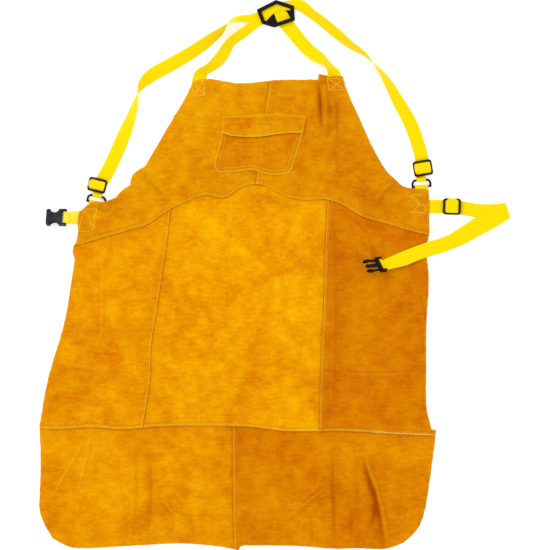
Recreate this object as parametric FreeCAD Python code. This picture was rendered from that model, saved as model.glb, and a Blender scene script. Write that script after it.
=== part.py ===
"""Split-leather welding apron with a cross-back webbing harness, laid out flat.

The origin is on the surface under the middle of the object. +X is the right of the laid-out apron,
+Y runs up towards the neck and +Z points out of the surface. All lengths are in millimetres.

The leather is a bib of two halves, a skirt of three panels and a hem band of two halves, joined by
lapped seams, with a flap pocket on the chest. Two webbing straps run from the bib's corners through
a cross slider to rings at the hips, and a waist strap closes with a side-release buckle.
"""
import FreeCAD
import Part
import math
import os

Vector = FreeCAD.Vector

# ---- driving dimensions ----
LEATHER = 1.4            # thickness of one layer of split leather
LAP = 10.0               # how far a lapped seam's upper layer reaches over the lower one
JOIN = 6.0               # width where a panel's raised lap is one piece with the panel
SEAM_GAP = 0.2           # between the edges of neighbouring panels
FAR = 700.0              # beyond the object's edge, for the regions that cut the panels out

WEB = 25.0               # width of the harness webbing
WEB_T = 1.3              # its thickness
WEB_MID = WEB_T / 2      # height of its middle when it lies flat
CLEAR = 0.3              # between pieces of different bodies

PATCH_T = 0.8            # hook and loop patches
POCKET_Z = LEATHER       # the pocket lies on the bib
FLAP_Z = POCKET_Z + LEATHER + 2 * PATCH_T + CLEAR
HINGE_Y = 288.0          # line where the pocket flap folds

RING_HALF = 16.5         # D-ring: half of its straight bar
RING_DEPTH = 12.0        # from the middle of its bar to the middle of the wire opposite
RING_SHOULDER = 6.5      # radius of its two round shoulders
WIRE_R = 2.0
LOOP_R = WIRE_R + 0.25   # inside radius of webbing that turns round a bar
RING_Z = LOOP_R + WEB_T  # the webbing below the ring touches the surface

GLIDE_Z = 2 * WEB_T + 0.4    # underside of a tri-glide, above two layers of webbing
GLIDE_T = 3.4
GLIDE_BAR = 3.2

BUCKLE_W = 31.0
BUCKLE_T = 10.0

os.makedirs("parts", exist_ok=True)


def export(node, shape):
    """Write one node, and say how large it is."""
    solids = shape.Solids
    made = solids[0] if len(solids) == 1 else Part.makeCompound(solids)
    made.exportStep(f"parts/{node}.step")
    b = made.BoundBox
    print(f"{node:26s} {len(solids)} solid, {made.Volume:9.0f} mm3, valid {made.isValid()}, "
          f"x {b.XMin:.1f} {b.XMax:.1f} y {b.YMin:.1f} {b.YMax:.1f} z {b.ZMin:.2f} {b.ZMax:.2f}")


# ---- flat shapes ----
def curve(points):
    """A smooth edge through plan points, or a straight one through two."""
    places = [Vector(x, y, 0) for x, y in points]
    if len(places) == 2:
        return Part.LineSegment(*places).toShape()
    spline = Part.BSplineCurve()
    spline.interpolate(places)
    return spline.toShape()


def outline(*runs):
    """A closed wire of smooth runs, where each run starts at the end of the one before."""
    ends = [runs[(i + 1) % len(runs)][0] for i in range(len(runs))]
    return Part.Wire([curve(list(run) + [end]) for run, end in zip(runs, ends)])


def plate(wire, low, high):
    """A flat closed wire as a solid between two heights."""
    solid = Part.Face(wire).extrude(Vector(0, 0, high - low))
    solid.translate(Vector(0, 0, low))
    return solid


def box(x0, x1, y0, y1, z0, z1):
    return Part.makeBox(x1 - x0, y1 - y0, z1 - z0, Vector(x0, y0, z0))


def beside(seam, side, shift=0.0):
    """The region to one side of a seam, as a tall block: side is "up", "down", "left" or "right"."""
    across = side in ("left", "right")
    away = -FAR if side in ("down", "left") else FAR
    moved = [(x + shift, y) if across else (x, y + shift) for x, y in seam]
    first, last = moved[0], moved[-1]
    if across:
        corners = [(last[0], -FAR), (away, -FAR), (away, FAR), (first[0], FAR)]
    else:
        corners = [(FAR, last[1]), (FAR, away), (-FAR, away), (-FAR, first[1])]
    edges = [curve(moved)]
    path = [last] + corners + [first]
    edges += [curve([a, b]) for a, b in zip(path, path[1:])]
    return plate(Part.Wire(edges), -1.0, 20.0)


# ---- the leather's outline and its seams ----
SKIRT_AND_BIB = outline(
    [(-152, 357), (-128, 362), (-76, 355), (-9, 359), (44, 361)],
    [(80, 361)],
    [(81, 372), (98, 368)],
    [(126, 367), (131, 347), (142, 320), (160, 281)],
    [(176, 244), (191, 216), (208, 190)],
    [(223, 176), (237, 164), (254, 160)],
    [(284, 156), (285, 110)],
    [(285, 75), (281, 61), (283, 9), (281, -68), (279, -120), (279, -198), (281, -250)],
    [(289, -284)],
    [(289, -310)],
    [(-435, -310)],
    [(-435, -282), (-426, -224), (-414, -172), (-398, -120), (-385, -68), (-377, -17)],
    [(-370, 28), (-372, 54)],
    [(-367, 61), (-364, 87), (-360, 117)],
    [(-352, 124), (-342, 127)],
    [(-318, 125)],
    [(-306, 139), (-298, 142), (-286, 153)],
    [(-267, 166), (-262, 186)],
    [(-249, 196)],
    [(-241, 200), (-224, 228), (-188, 290), (-161, 337)],
)
HEM = outline(
    [(-435, -250)],
    [(-435, -285), (-433, -353), (-435, -405), (-434, -438), (-428, -457)],
    [(-412, -485), (-395, -496), (-377, -503), (-352, -505), (-296, -502), (-228, -498),
     (-165, -496), (-118, -500), (-83, -505)],
    [(-68, -509), (-62, -501)],
    [(-48, -500), (1, -500), (61, -502), (115, -506), (155, -505), (213, -504)],
    [(238, -494), (262, -471), (276, -438), (282, -406), (289, -357), (297, -296)],
    [(298, -287)],
    [(298, -250)],
)
YOKE_SEAM = [(-380, 52), (-330, 66), (-265, 85), (-235, 95), (-196, 121), (-161, 137), (-123, 148),
             (-96, 143), (-68, 159), (-17, 165), (7, 152), (59, 139), (94, 140), (123, 131),
             (161, 109), (204, 96), (237, 86), (300, 71)]
HEM_SEAM = [(-450, -282), (-390, -284), (-337, -281), (-287, -285), (-245, -282), (-78, -279),
            (-48, -280), (7, -287), (99, -288), (170, -290), (224, -293), (310, -297)]
LEFT_SEAM = [(-191, 170), (-194, 118), (-207, 15), (-220, -70), (-230, -141), (-231, -182),
             (-236, -227), (-245, -281), (-250, -320)]
RIGHT_SEAM = [(98, 170), (97, 135), (92, 13), (90, -68), (86, -150), (83, -283), (82, -320)]
BIB_SEAM = [(-5, 380), (-9, 358), (-18, 298), (-33, 185), (-40, 130)]
HEM_CENTRE_SEAM = [(-78, -250), (-78, -281), (-77, -411), (-74, -530)]


def leather_panel(sheet, low_region, raised_region):
    """A panel: its flat part on the surface, and the laps that climb over its neighbours."""
    flat = plate(sheet, 0, LEATHER)
    raised = plate(sheet, LEATHER, 2 * LEATHER)
    for region in low_region:
        flat = flat.common(region)
    laps = [raised.common(region) for region in raised_region]
    return flat.fuse(laps).removeSplitter() if laps else flat


def step_over(panel, sheet, pieces, notches=()):
    """The panel climbs over webbing sewn on behind it: pieces are (outline, height). Where a
    ring's webbing stands taller, at the panel's edge, it is notched."""
    covers = [plate(wire.makeOffset2D(3.0), 0, height + LEATHER) for wire, height in pieces]
    rooms = [plate(wire.makeOffset2D(CLEAR), -1.0, height) for wire, height in pieces]
    rooms += [plate(wire.makeOffset2D(CLEAR), -1.0, 20.0) for wire in notches]
    for cover, (wire, height) in zip(covers, pieces):
        panel = panel.fuse(cover.common(plate(sheet, 0, height + LEATHER)))
    for room in rooms:
        panel = panel.cut(room)
    return panel.removeSplitter()


def common(*solids):
    made = solids[0]
    for other in solids[1:]:
        made = made.common(other)
    return made


# ---- webbing ----
def unit(v):
    return Vector(v).normalize()


def ribbon(pairs, thickness=WEB_T):
    """Webbing through pairs of edge points, left and right of its run, as one ruled solid."""
    left = [Vector(*a) for a, b in pairs]
    right = [Vector(*b) for a, b in pairs]
    middle = [(a + b) * 0.5 for a, b in zip(left, right)]
    sections = []
    for i, (a, b) in enumerate(zip(left, right)):
        ahead = middle[min(i + 1, len(middle) - 1)]
        behind = middle[max(i - 1, 0)]
        up = unit((a - b).cross(ahead - behind)) * (-thickness / 2)
        corners = [a + up, b + up, b - up, a - up]
        sections.append(Part.makePolygon(corners + corners[:1]))
    return Part.makeLoft(sections, True, True)


def strap_pairs(stations):
    """Edge points of webbing from stations (x, y, height of its lower edge, roll in degrees), with
    its width as a fifth value where it gathers."""
    pairs = []
    for i, (x, y, low, roll, *gathered) in enumerate(stations):
        width = gathered[0] if gathered else WEB
        ahead = stations[min(i + 1, len(stations) - 1)]
        behind = stations[max(i - 1, 0)]
        run = unit(Vector(ahead[0] - behind[0], ahead[1] - behind[1], 0))
        side = Vector(-run.y, run.x, 0)
        turn = math.radians(roll)
        half = (side * math.cos(turn) + Vector(0, 0, math.sin(turn))) * (width / 2)
        rise = low + abs(math.cos(turn)) * WEB_MID + abs(math.sin(turn)) * width / 2
        centre = Vector(x, y, rise)
        pairs.append((tuple(centre + half), tuple(centre - half)))
    return pairs


def hairpin(width, top_leg, bottom_leg, drop):
    """Webbing turned round a bar at the origin along X: both legs run towards +Y, the upper one
    comes down to lie on the lower one after drop."""
    outer = LOOP_R + WEB_T
    low, step = -outer, -outer + WEB_T
    lie = step + 0.1

    def p(y, z):
        return Vector(0, y, z)

    turn_out = Part.Arc(p(0, outer), p(-outer, 0), p(0, -outer)).toShape()
    turn_in = Part.Arc(p(0, -LOOP_R), p(-LOOP_R, 0), p(0, LOOP_R)).toShape()
    bottom = Part.makePolygon([p(0, low), p(bottom_leg, low), p(bottom_leg, step), p(0, step)])
    knee = p(LOOP_R, 0.85 * LOOP_R)      # clear of the bar on its way down
    under = [p(0, LOOP_R), knee, p(drop, lie), p(top_leg, lie)]
    over = [p(top_leg, lie + WEB_T), p(drop + 1.0, lie + WEB_T),
            knee + p(0.6 * WEB_T, 0.9 * WEB_T), p(0, outer)]
    top = Part.makePolygon(under + over)
    wire = Part.Wire([turn_out] + bottom.Edges + [turn_in] + top.Edges)
    solid = Part.Face(wire).extrude(Vector(width, 0, 0))
    solid.translate(Vector(-width / 2, 0, 0))
    return solid


def put(shape, x, y, z, angle):
    """A copy of the shape turned about Z by angle, then moved."""
    made = shape.copy()
    made.rotate(Vector(0, 0, 0), Vector(0, 0, 1), angle)
    made.translate(Vector(x, y, z))
    return made


# Shoulder strap A: from the right bib corner, over strap B in the slider, to the left hip.
STRAP_A = [(113, 341, 0, 0), (109, 371, 0, 0), (103, 382, 0, 45), (94, 392, 0, 50), (82, 400, 0, 22),
           (62, 416, 0, 8), (43, 438, 1.0, 4), (27, 459, 2.4, 0), (14, 475, 2.4, 0, 23),
           (2, 485, 2.4, 0, 17), (-14, 487, 2.4, 0, 14), (-34, 482, 2.4, 0, 19),
           (-55, 476, 1.2, 2, 24), (-70, 472, 0, 52),
           (-84, 466, 0, 88), (-98, 452, 0, 112), (-114, 439, 0, 132), (-132, 426, 0, 146),
           (-161, 407, 0, 154), (-200, 385, 0, 172), (-229, 368, 0, 160), (-246, 350, 0, 122),
           (-254, 332, 0, 80), (-260, 310, 0, 55), (-268, 286, 0, 38), (-276, 266, 0, 20)]
# Its lower stretch lies flat and straight, and the tri-glide slides along it.
STRAP_A_END = [(-276.5, 265, 0, 20), (-287, 240, 0, 6), (-299, 213, 0, 0), (-311, 189, 0, 0),
               (-324, 163, 0, 0)]
# Shoulder strap B: from the left bib corner, under strap A in the slider, to the right hip.
STRAP_B = [(-144, 331, 0, 0), (-139, 366, 0, 0), (-133, 374, 0, 50), (-123, 381, 0, 53),
           (-108, 393, 0, 33), (-95, 409, 0, 27), (-82, 429, 0, 48), (-70, 441, 0, 52),
           (-55, 453, 2.0, 30), (-40, 461, 4.0, 0, 22), (-22, 476, 4.0, 0, 17), (-9, 489, 4.0, 0, 16),
           (8, 496, 4.0, 0, 16), (27, 499.5, 4.0, 0, 17), (43, 498, 3.0, 0, 20), (56, 493, 0.5, 40, 22),
           (66, 486, 0, 48), (84, 469, 0, 40),
           (108, 445, 0, 46), (124, 434, 0, 52), (143, 422, 0, 64), (166, 407, 0, 78),
           (180, 392, 0, 94), (194, 376, 0, 114), (208, 356, 0, 132), (230, 317, 0, 158),
           (246.5, 288, 0, 172)]
STRAP_B_END = [(248.5, 284, 0, -8), (257, 264, 0, 0), (265, 240, 0, 0), (271, 215, 0, 0),
               (271.5, 194, 0, 0)]

# Hips: place of the ring's bar, its turn about Z, and the tri-glide's place and turn.
LEFT_RING = (-331, 134, -12)
LEFT_GLIDE = (-328.5, 166.0, -13.6)
RIGHT_RING = (271, 163.5, 4)
RIGHT_GLIDE = (273.2, 197.5, 9.6)

# Cross slider: an elongated hexagon on two plates, with three pillars clear of both straps.
SLIDER = [(2, 508), (-34, 490), (-24, 464), (-1, 457), (37, 470), (35, 497)]
SLIDER_BAR = 7.0
SLIDER_BACK_T = 2.0
SLIDER_FRONT_Z = 5.7
SLIDER_FRONT_T = 2.8
SLIDER_PILLARS = [(-8, 501), (31.5, 484), (-3, 460.3)]
PILLAR_R = 1.0


def polygon(points):
    return Part.makePolygon([Vector(x, y, 0) for x, y in points + points[:1]])


def cross_slider():
    """The slider's front frame, and its back plate with the pillars."""
    rim = polygon(SLIDER)
    window = rim.makeOffset2D(-SLIDER_BAR)
    top = SLIDER_FRONT_Z + SLIDER_FRONT_T
    front = plate(rim, SLIDER_FRONT_Z, top).cut(plate(window, SLIDER_FRONT_Z - 1, top + 1))
    upright = [e for e in front.Edges if abs(e.BoundBox.ZLength - SLIDER_FRONT_T) < 0.01]
    front = front.makeFillet(2.0, upright)
    back = plate(rim.makeOffset2D(-1.0), 0, SLIDER_BACK_T)
    for x, y in SLIDER_PILLARS:
        back = back.fuse(Part.makeCylinder(PILLAR_R, SLIDER_FRONT_Z, Vector(x, y, 0)))
    return front, back


def d_ring():
    """A wire ring: a straight bar along X at the origin, and a round-shouldered bow towards +Y."""
    top_half = RING_HALF - RING_SHOULDER
    leg = RING_DEPTH - RING_SHOULDER
    along_x, along_y = Vector(1, 0, 0), Vector(0, 1, 0)
    ring = Part.makeCylinder(WIRE_R, 2 * RING_HALF, Vector(-RING_HALF, 0, 0), along_x)
    pieces = [Part.makeCylinder(WIRE_R, 2 * top_half, Vector(-top_half, RING_DEPTH, 0), along_x)]
    for side in (-1, 1):
        shoulder = Part.makeTorus(RING_SHOULDER, WIRE_R, Vector(0, 0, 0), Vector(0, 0, 1), 0, 360, 90)
        if side < 0:
            shoulder.rotate(Vector(0, 0, 0), Vector(0, 0, 1), 90)
        shoulder.translate(Vector(side * top_half, leg, 0))
        pieces += [shoulder,
                   Part.makeCylinder(WIRE_R, leg, Vector(side * RING_HALF, 0, 0), along_y),
                   Part.makeSphere(WIRE_R, Vector(side * RING_HALF, 0, 0))]
    return ring.fuse(pieces).removeSplitter()


def tri_glide(across, along):
    """A rounded frame with a lower centre bar, and the webbing that turns over that bar."""
    outer = box(-across / 2, across / 2, -along / 2, along / 2, 0, GLIDE_T)
    corners = [e for e in outer.Edges if abs(e.BoundBox.ZLength - GLIDE_T) < 0.01]
    outer = outer.makeFillet(5.0, corners)
    inside = (across / 2 - GLIDE_BAR, along / 2 - GLIDE_BAR)
    frame = outer.cut(box(-inside[0], inside[0], -inside[1], inside[1], -1, GLIDE_T + 1))
    frame = frame.fuse(box(-inside[0] - 1, inside[0] + 1, -1.5, 1.5, 0, 2.0)).removeSplitter()

    reach = inside[1] - CLEAR
    crown = GLIDE_T + 0.7

    def p(y, z):
        return Vector(0, y, z)

    over = Part.Arc(p(-reach, 0), p(0, crown), p(reach, 0)).toShape()
    under = Part.Arc(p(reach - WEB_T, 0), p(0, crown - WEB_T), p(WEB_T - reach, 0)).toShape()
    feet = [Part.makeLine(p(reach, 0), p(reach - WEB_T, 0)),
            Part.makeLine(p(WEB_T - reach, 0), p(-reach, 0))]
    width = 2 * inside[0] - 2 * CLEAR
    turn = Part.Face(Part.Wire([over, feet[0], under, feet[1]])).extrude(Vector(width, 0, 0))
    turn.translate(Vector(-width / 2, 0, 0))
    return frame, turn


STRAP_LOOP_W = 17.0      # the webbing gathers where it turns round the ring
LOOP_DROP = 4.5          # how soon the two layers of a loop meet behind its bar


def strap_end(stations, ring):
    """The lower stretch of a shoulder strap, which turns round the ring's bow."""
    x, y, angle = ring
    turn = math.radians(angle)
    bow = (x - RING_DEPTH * math.sin(turn), y + RING_DEPTH * math.cos(turn))
    flat = ribbon(strap_pairs(stations))
    loop = put(hairpin(STRAP_LOOP_W, 12.0, 22.0, LOOP_DROP), bow[0], bow[1], RING_Z, angle)
    return flat.fuse(loop).removeSplitter()


# ---- buckle ----
def aim(bar_angle, bar_tilt, heading):
    """Axes of a buckle half: local X runs towards its mouth or tips, local Y along its bar."""
    a, t, h = (math.radians(v) for v in (bar_angle, bar_tilt, heading))
    bar = Vector(math.cos(a) * math.cos(t), math.sin(a) * math.cos(t), math.sin(t))
    pitch = math.atan2(-math.cos(h - a) * math.cos(t), math.sin(t))
    forward = Vector(math.cos(h) * math.cos(pitch), math.sin(h) * math.cos(pitch), math.sin(pitch))
    return forward, bar, forward.cross(bar)


def place_in(shape, axes, at):
    """Carry a shape built about the origin to its place, turned onto the given axes."""
    x, y, z = axes
    m = FreeCAD.Matrix(x.x, y.x, z.x, at[0], x.y, y.y, z.y, at[1], x.z, y.z, z.z, at[2], 0, 0, 0, 1)
    made = shape.copy()
    made.Placement = FreeCAD.Placement(m).multiply(shape.Placement)
    return made


SOCKET_AT = (-388, 106, 13.6)
SOCKET_AXES = aim(-92, 20, 180)
PLUG_AT = (197.5, 19.5, 14.5)
PLUG_AXES = aim(-65, 32, 187)
BAR_R = 1.6
SOCKET_LENGTH = 34.0
NOTCH_AT = 18.5          # the waist, where the fingers press the prongs
NOTCH_R = 8.5
PLUG_BASE = 9.0
PRONG_LENGTH = 28.0
PRONG_HEAD = 14.0
SHELL_START = 4.2        # the socket's shell begins just ahead of the webbing on its bar


def bar_frame(length):
    """The end of a buckle half that holds the webbing's bar, which lies at the local origin."""
    half = BUCKLE_W / 2
    cheeks = [box(-3.5, length, s * half - (3.2 if s > 0 else 0), s * half + (0 if s > 0 else 3.2),
                  -BUCKLE_T / 2, BUCKLE_T / 2) for s in (-1, 1)]
    bar = Part.makeCylinder(BAR_R, BUCKLE_W - 2, Vector(0, 1 - half, 0), Vector(0, 1, 0))
    return cheeks, bar


def buckle_socket():
    """The side-release socket: a flat shell, open at its mouth and at the waist of each side."""
    half = BUCKLE_W / 2
    wall = 1.5
    cheeks, bar = bar_frame(SHELL_START + 1)
    shell = box(SHELL_START, SOCKET_LENGTH, -half, half, -BUCKLE_T / 2, BUCKLE_T / 2)
    hollow = box(SHELL_START + 2, SOCKET_LENGTH + 1, wall - half, half - wall,
                 wall - BUCKLE_T / 2, BUCKLE_T / 2 - wall)
    solid = shell.fuse(cheeks + [bar]).removeSplitter()
    rims = [e for e in solid.Edges if abs(e.BoundBox.ZLength - BUCKLE_T) < 0.01
            and e.BoundBox.XMin > SOCKET_LENGTH - 1]
    solid = solid.makeFillet(3.0, rims).cut(hollow)
    for side in (-1, 1):
        notch = Part.makeCylinder(NOTCH_R, BUCKLE_T + 2,
                                  Vector(NOTCH_AT, side * (half + 1.5), -BUCKLE_T / 2 - 1))
        solid = solid.cut(notch)
    return solid


def buckle_plug():
    """The plug's base with its bar and centre tongue."""
    half = BUCKLE_W / 2
    cheeks, bar = bar_frame(5.0)
    base = box(4.0, PLUG_BASE, -half, half, -3.6, 3.6)
    tongue = box(PLUG_BASE - 1, PLUG_BASE + PRONG_LENGTH - 3, -3.0, 3.0, -1.8, 1.8)
    tips = [e for e in tongue.Edges if abs(e.BoundBox.ZLength - 3.6) < 0.01
            and e.BoundBox.XMin > PLUG_BASE]
    tongue = tongue.makeFillet(1.6, tips)
    cheeks = [c.common(box(-4, 6, -half, half, -3.6, 3.6)) for c in cheeks]
    return base.fuse(cheeks + [bar, tongue]).removeSplitter()


def buckle_prong(side):
    """One sprung prong: a slim arm that widens into a barbed head. side is 1 or -1."""
    root = PLUG_BASE + CLEAR
    tip = PLUG_BASE + PRONG_LENGTH
    barb = tip - PRONG_HEAD
    arm = [(root, 9.0), (barb + 1, 10.6), (barb + 2.5, 8.6), (tip - 3, 8.4)]
    nose = [(tip, 10.2), (tip - 3, 13.6), (barb, 14.9), (barb - 1, 12.9), (root, 12.2)]
    face = polygon([(x, side * y) for x, y in arm + nose])
    return plate(face, -2.4, 2.4)


# ---- waist strap ----
def bar_pair(axes, at, back):
    """The webbing's edge points at a distance behind a buckle bar, level with its lower leg."""
    forward, bar, up = axes
    middle = Vector(*at) - forward * back - up * (BAR_R + 0.25 + WEB_MID)
    return tuple(middle - bar * (WEB / 2)), tuple(middle + bar * (WEB / 2))


WAIST_STUB = [((-353.5, 118.5, WEB_MID), (-353.5, 93.5, WEB_MID)),
              ((-365, 118.5, WEB_MID), (-365, 93.5, WEB_MID)),
              ((-373, 118.0, 4.0), (-373, 93.8, 8.0)),
              bar_pair(SOCKET_AXES, SOCKET_AT, 7.0)]
WAIST_INNER = [(262, 126.5, 0, 0), (287, 126.5, 0, 0), (310, 126.5, 0, 0), (345, 124, 0, 0),
               (372, 119.5, 0, 0), (400, 118.5, 0, 0), (428, 121, 0, 0)]
FOLD_TOP = (427, 134)
FOLD_LOW = (436, 106)
FOLD_Z = WEB_T + CLEAR / 2
TAIL_Z = WEB_T + CLEAR + WEB_MID
WAIST_TAIL = [((425.6, 133.6, TAIL_Z), (434.8, 105.4, TAIL_Z)),
              ((398, 119.5, TAIL_Z), (410.5, 90, TAIL_Z)),
              ((372, 106.5, TAIL_Z), (386.5, 77, TAIL_Z)),
              ((346, 90, TAIL_Z), (357.5, 61, TAIL_Z)),
              ((320, 74, TAIL_Z), (331, 49, TAIL_Z)),
              ((289, 63, TAIL_Z), (298, 38, TAIL_Z)),
              ((260, 53, TAIL_Z), (269, 29, TAIL_Z + 1.0)),
              ((232, 42, TAIL_Z + 0.5), (243, 18, TAIL_Z + 6.0)),
              bar_pair(PLUG_AXES, PLUG_AT, 7.0)]
WAIST_GLIDE = (327, 126.5, 88)


def webbing_on_bar(axes, at, width, leg):
    """The turn of webbing round a buckle half's bar, with legs away from its mouth."""
    scale = (BAR_R + 0.25 + WEB_T) / (LOOP_R + WEB_T)
    turn = hairpin(width, leg, leg, LOOP_DROP)
    turn.rotate(Vector(0, 0, 0), Vector(0, 0, 1), 90)
    made = turn.copy()
    made.scale(scale)
    return place_in(made, axes, at)


# ---- build: leather ----
def build_leather():
    """The seven leather panels, keyed by node."""
    yoke_up = beside(YOKE_SEAM, "up", LAP + SEAM_GAP)
    yoke_lap = common(beside(YOKE_SEAM, "up"), beside(YOKE_SEAM, "down", LAP + JOIN))
    skirt_low = common(beside(YOKE_SEAM, "down", LAP), beside(HEM_SEAM, "up", LAP + SEAM_GAP))
    hem_lap = common(beside(HEM_SEAM, "up"), beside(HEM_SEAM, "down", LAP + JOIN))
    between = common(beside(YOKE_SEAM, "down", -SEAM_GAP),
                     beside(HEM_SEAM, "up", LAP + JOIN + SEAM_GAP))
    pocket_room = box(-125, 70, 180, 305, 0, 20)

    left_lap = common(beside(LEFT_SEAM, "left"), beside(LEFT_SEAM, "right", -LAP - JOIN), between)
    right_lap = common(beside(RIGHT_SEAM, "right"), beside(RIGHT_SEAM, "left", LAP + JOIN), between)
    bib_lap = common(beside(BIB_SEAM, "right"), beside(BIB_SEAM, "left", LAP + JOIN),
                     beside(YOKE_SEAM, "up", LAP + JOIN + SEAM_GAP)).cut(pocket_room)
    hem_centre_lap = common(beside(HEM_CENTRE_SEAM, "right"),
                            beside(HEM_CENTRE_SEAM, "left", LAP + JOIN),
                            beside(HEM_SEAM, "down", -SEAM_GAP))
    sheet, hem = SKIRT_AND_BIB, HEM
    return {
        "bib_left": leather_panel(
            sheet, [yoke_up, beside(BIB_SEAM, "left", LAP)],
            [common(yoke_lap, beside(BIB_SEAM, "left", -SEAM_GAP))]),
        "bib_right": leather_panel(
            sheet, [yoke_up, beside(BIB_SEAM, "right", LAP + SEAM_GAP)],
            [common(yoke_lap, beside(BIB_SEAM, "right")), bib_lap]),
        "skirt_left": leather_panel(
            sheet, [skirt_low, beside(LEFT_SEAM, "left", -LAP - SEAM_GAP)],
            [left_lap, common(hem_lap, beside(LEFT_SEAM, "left"))]),
        "skirt_right": leather_panel(
            sheet, [skirt_low, beside(RIGHT_SEAM, "right", LAP + SEAM_GAP)],
            [right_lap, common(hem_lap, beside(RIGHT_SEAM, "right"))]),
        "skirt_centre": leather_panel(
            sheet, [skirt_low, beside(LEFT_SEAM, "right", -LAP), beside(RIGHT_SEAM, "left", LAP)],
            [common(hem_lap, beside(LEFT_SEAM, "right", SEAM_GAP),
                    beside(RIGHT_SEAM, "left", -SEAM_GAP))]),
        "hem_band_left": leather_panel(
            hem, [beside(HEM_SEAM, "down", LAP), beside(HEM_CENTRE_SEAM, "left", LAP)], []),
        "hem_band_right": leather_panel(
            hem, [beside(HEM_SEAM, "down", LAP), beside(HEM_CENTRE_SEAM, "right", LAP + SEAM_GAP)],
            [hem_centre_lap]),
    }


def footprint(pairs):
    """The plan outline of webbing whose edges are given in pairs."""
    left = [(a[0], a[1]) for a, b in pairs]
    right = [(b[0], b[1]) for a, b in pairs]
    return polygon(left + right[::-1])


LEFT_TAB_LEG = 48.0
RIGHT_TAB_LEG = 22.0
TAB_W = 24.0
TAB_NOTCH = 7.0          # the tab's turn round the ring reaches this far below the bar


def tab_pairs(ring, leg):
    """Where a hip tab lies, from its ring's bar."""
    x, y, angle = ring
    turn = math.radians(angle)
    down = Vector(math.sin(turn), -math.cos(turn), 0)
    side = Vector(math.cos(turn), math.sin(turn), 0) * (TAB_W / 2)
    start, end = Vector(x, y, 0), Vector(x, y, 0) + down * leg
    return [(tuple(start - side), tuple(start + side)), (tuple(end - side), tuple(end + side))]


def hip_tab(ring, leg):
    x, y, angle = ring
    return put(hairpin(TAB_W, leg, leg, LOOP_DROP), x, y, RING_Z, angle + 180)


panels = build_leather()
strap_a = ribbon(strap_pairs(STRAP_A))
strap_b = ribbon(strap_pairs(STRAP_B))
waist_inner = ribbon(strap_pairs(WAIST_INNER))
SINGLE = WEB_T + 0.1
DOUBLE = 2 * WEB_T + 0.2
panels["bib_left"] = step_over(
    panels["bib_left"], SKIRT_AND_BIB,
    [(footprint(strap_pairs(STRAP_B[:2])), SINGLE), (footprint(WAIST_STUB[:2]), SINGLE),
     (footprint(tab_pairs(LEFT_RING, LEFT_TAB_LEG)), DOUBLE)],
    [footprint(tab_pairs(LEFT_RING, TAB_NOTCH))])
panels["bib_right"] = step_over(
    panels["bib_right"], SKIRT_AND_BIB,
    [(footprint(strap_pairs(STRAP_A[:2])), SINGLE),
     (footprint(strap_pairs(WAIST_INNER[:2])), SINGLE),
     (footprint(tab_pairs(RIGHT_RING, RIGHT_TAB_LEG)), DOUBLE)],
    [footprint(tab_pairs(RIGHT_RING, TAB_NOTCH))])
for name, panel in panels.items():
    export(name, panel)

# ---- build: chest pocket ----
pocket = outline([(-99, 285), (-101, 250), (-112, 204)],
                 [(-112, 200), (-107, 191), (-98, 189)],
                 [(-94, 190), (-68, 191), (-37, 193), (-23, 188), (2, 185)],
                 [(18, 186), (28, 190), (33, 202)],
                 [(34, 206), (50, 260)],
                 [(53, 285)])
flap = outline([(-97, HINGE_Y), (-98.5, 275)],
               [(-99, 263), (-86, 259), (-46, 255), (-23, 256), (9, 261)],
               [(51, 263), (54, 275)],
               [(56, HINGE_Y)])
sewn = outline([(-97, HINGE_Y + CLEAR)], [(56, HINGE_Y + CLEAR)],
               [(57, 294), (-4, 298), (-68, 295)], [(-98, 293)])
export("chest_pocket", plate(pocket, POCKET_Z, POCKET_Z + LEATHER))
export("flap_sewn_edge", plate(sewn, LEATHER, FLAP_Z + LEATHER - 0.1))
export("pocket_flap", plate(flap, FLAP_Z, FLAP_Z + LEATHER))
export("pocket_loop_patch", box(-36, -7, 263, 281, POCKET_Z + LEATHER, POCKET_Z + LEATHER + PATCH_T))
export("flap_hook_patch", box(-36, -7, 263, 281, FLAP_Z - PATCH_T, FLAP_Z))

# ---- build: harness ----
export("shoulder_strap_a", strap_a)
export("shoulder_strap_b", strap_b)
export("shoulder_strap_a_end", strap_end(STRAP_A_END, LEFT_RING))
export("shoulder_strap_b_end", strap_end(STRAP_B_END, RIGHT_RING))
export("hip_tab_left", hip_tab(LEFT_RING, LEFT_TAB_LEG))
export("hip_tab_right", hip_tab(RIGHT_RING, RIGHT_TAB_LEG))
for name, ring in (("d_ring_left", LEFT_RING), ("d_ring_right", RIGHT_RING)):
    export(name, put(d_ring(), ring[0], ring[1], RING_Z, ring[2]))
for name, place, size in (("left", LEFT_GLIDE, (34, 26)), ("right", RIGHT_GLIDE, (35, 29)),
                          ("waist", WAIST_GLIDE, (30, 33))):
    frame, turn = tri_glide(*size)
    export(f"tri_glide_{name}", put(frame, place[0], place[1], GLIDE_Z, place[2]))
    export(f"tri_glide_webbing_{name}", put(turn, place[0], place[1], GLIDE_Z, place[2]))
front, back = cross_slider()
export("cross_slider_frame", front)
export("cross_slider_back", back)

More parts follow.
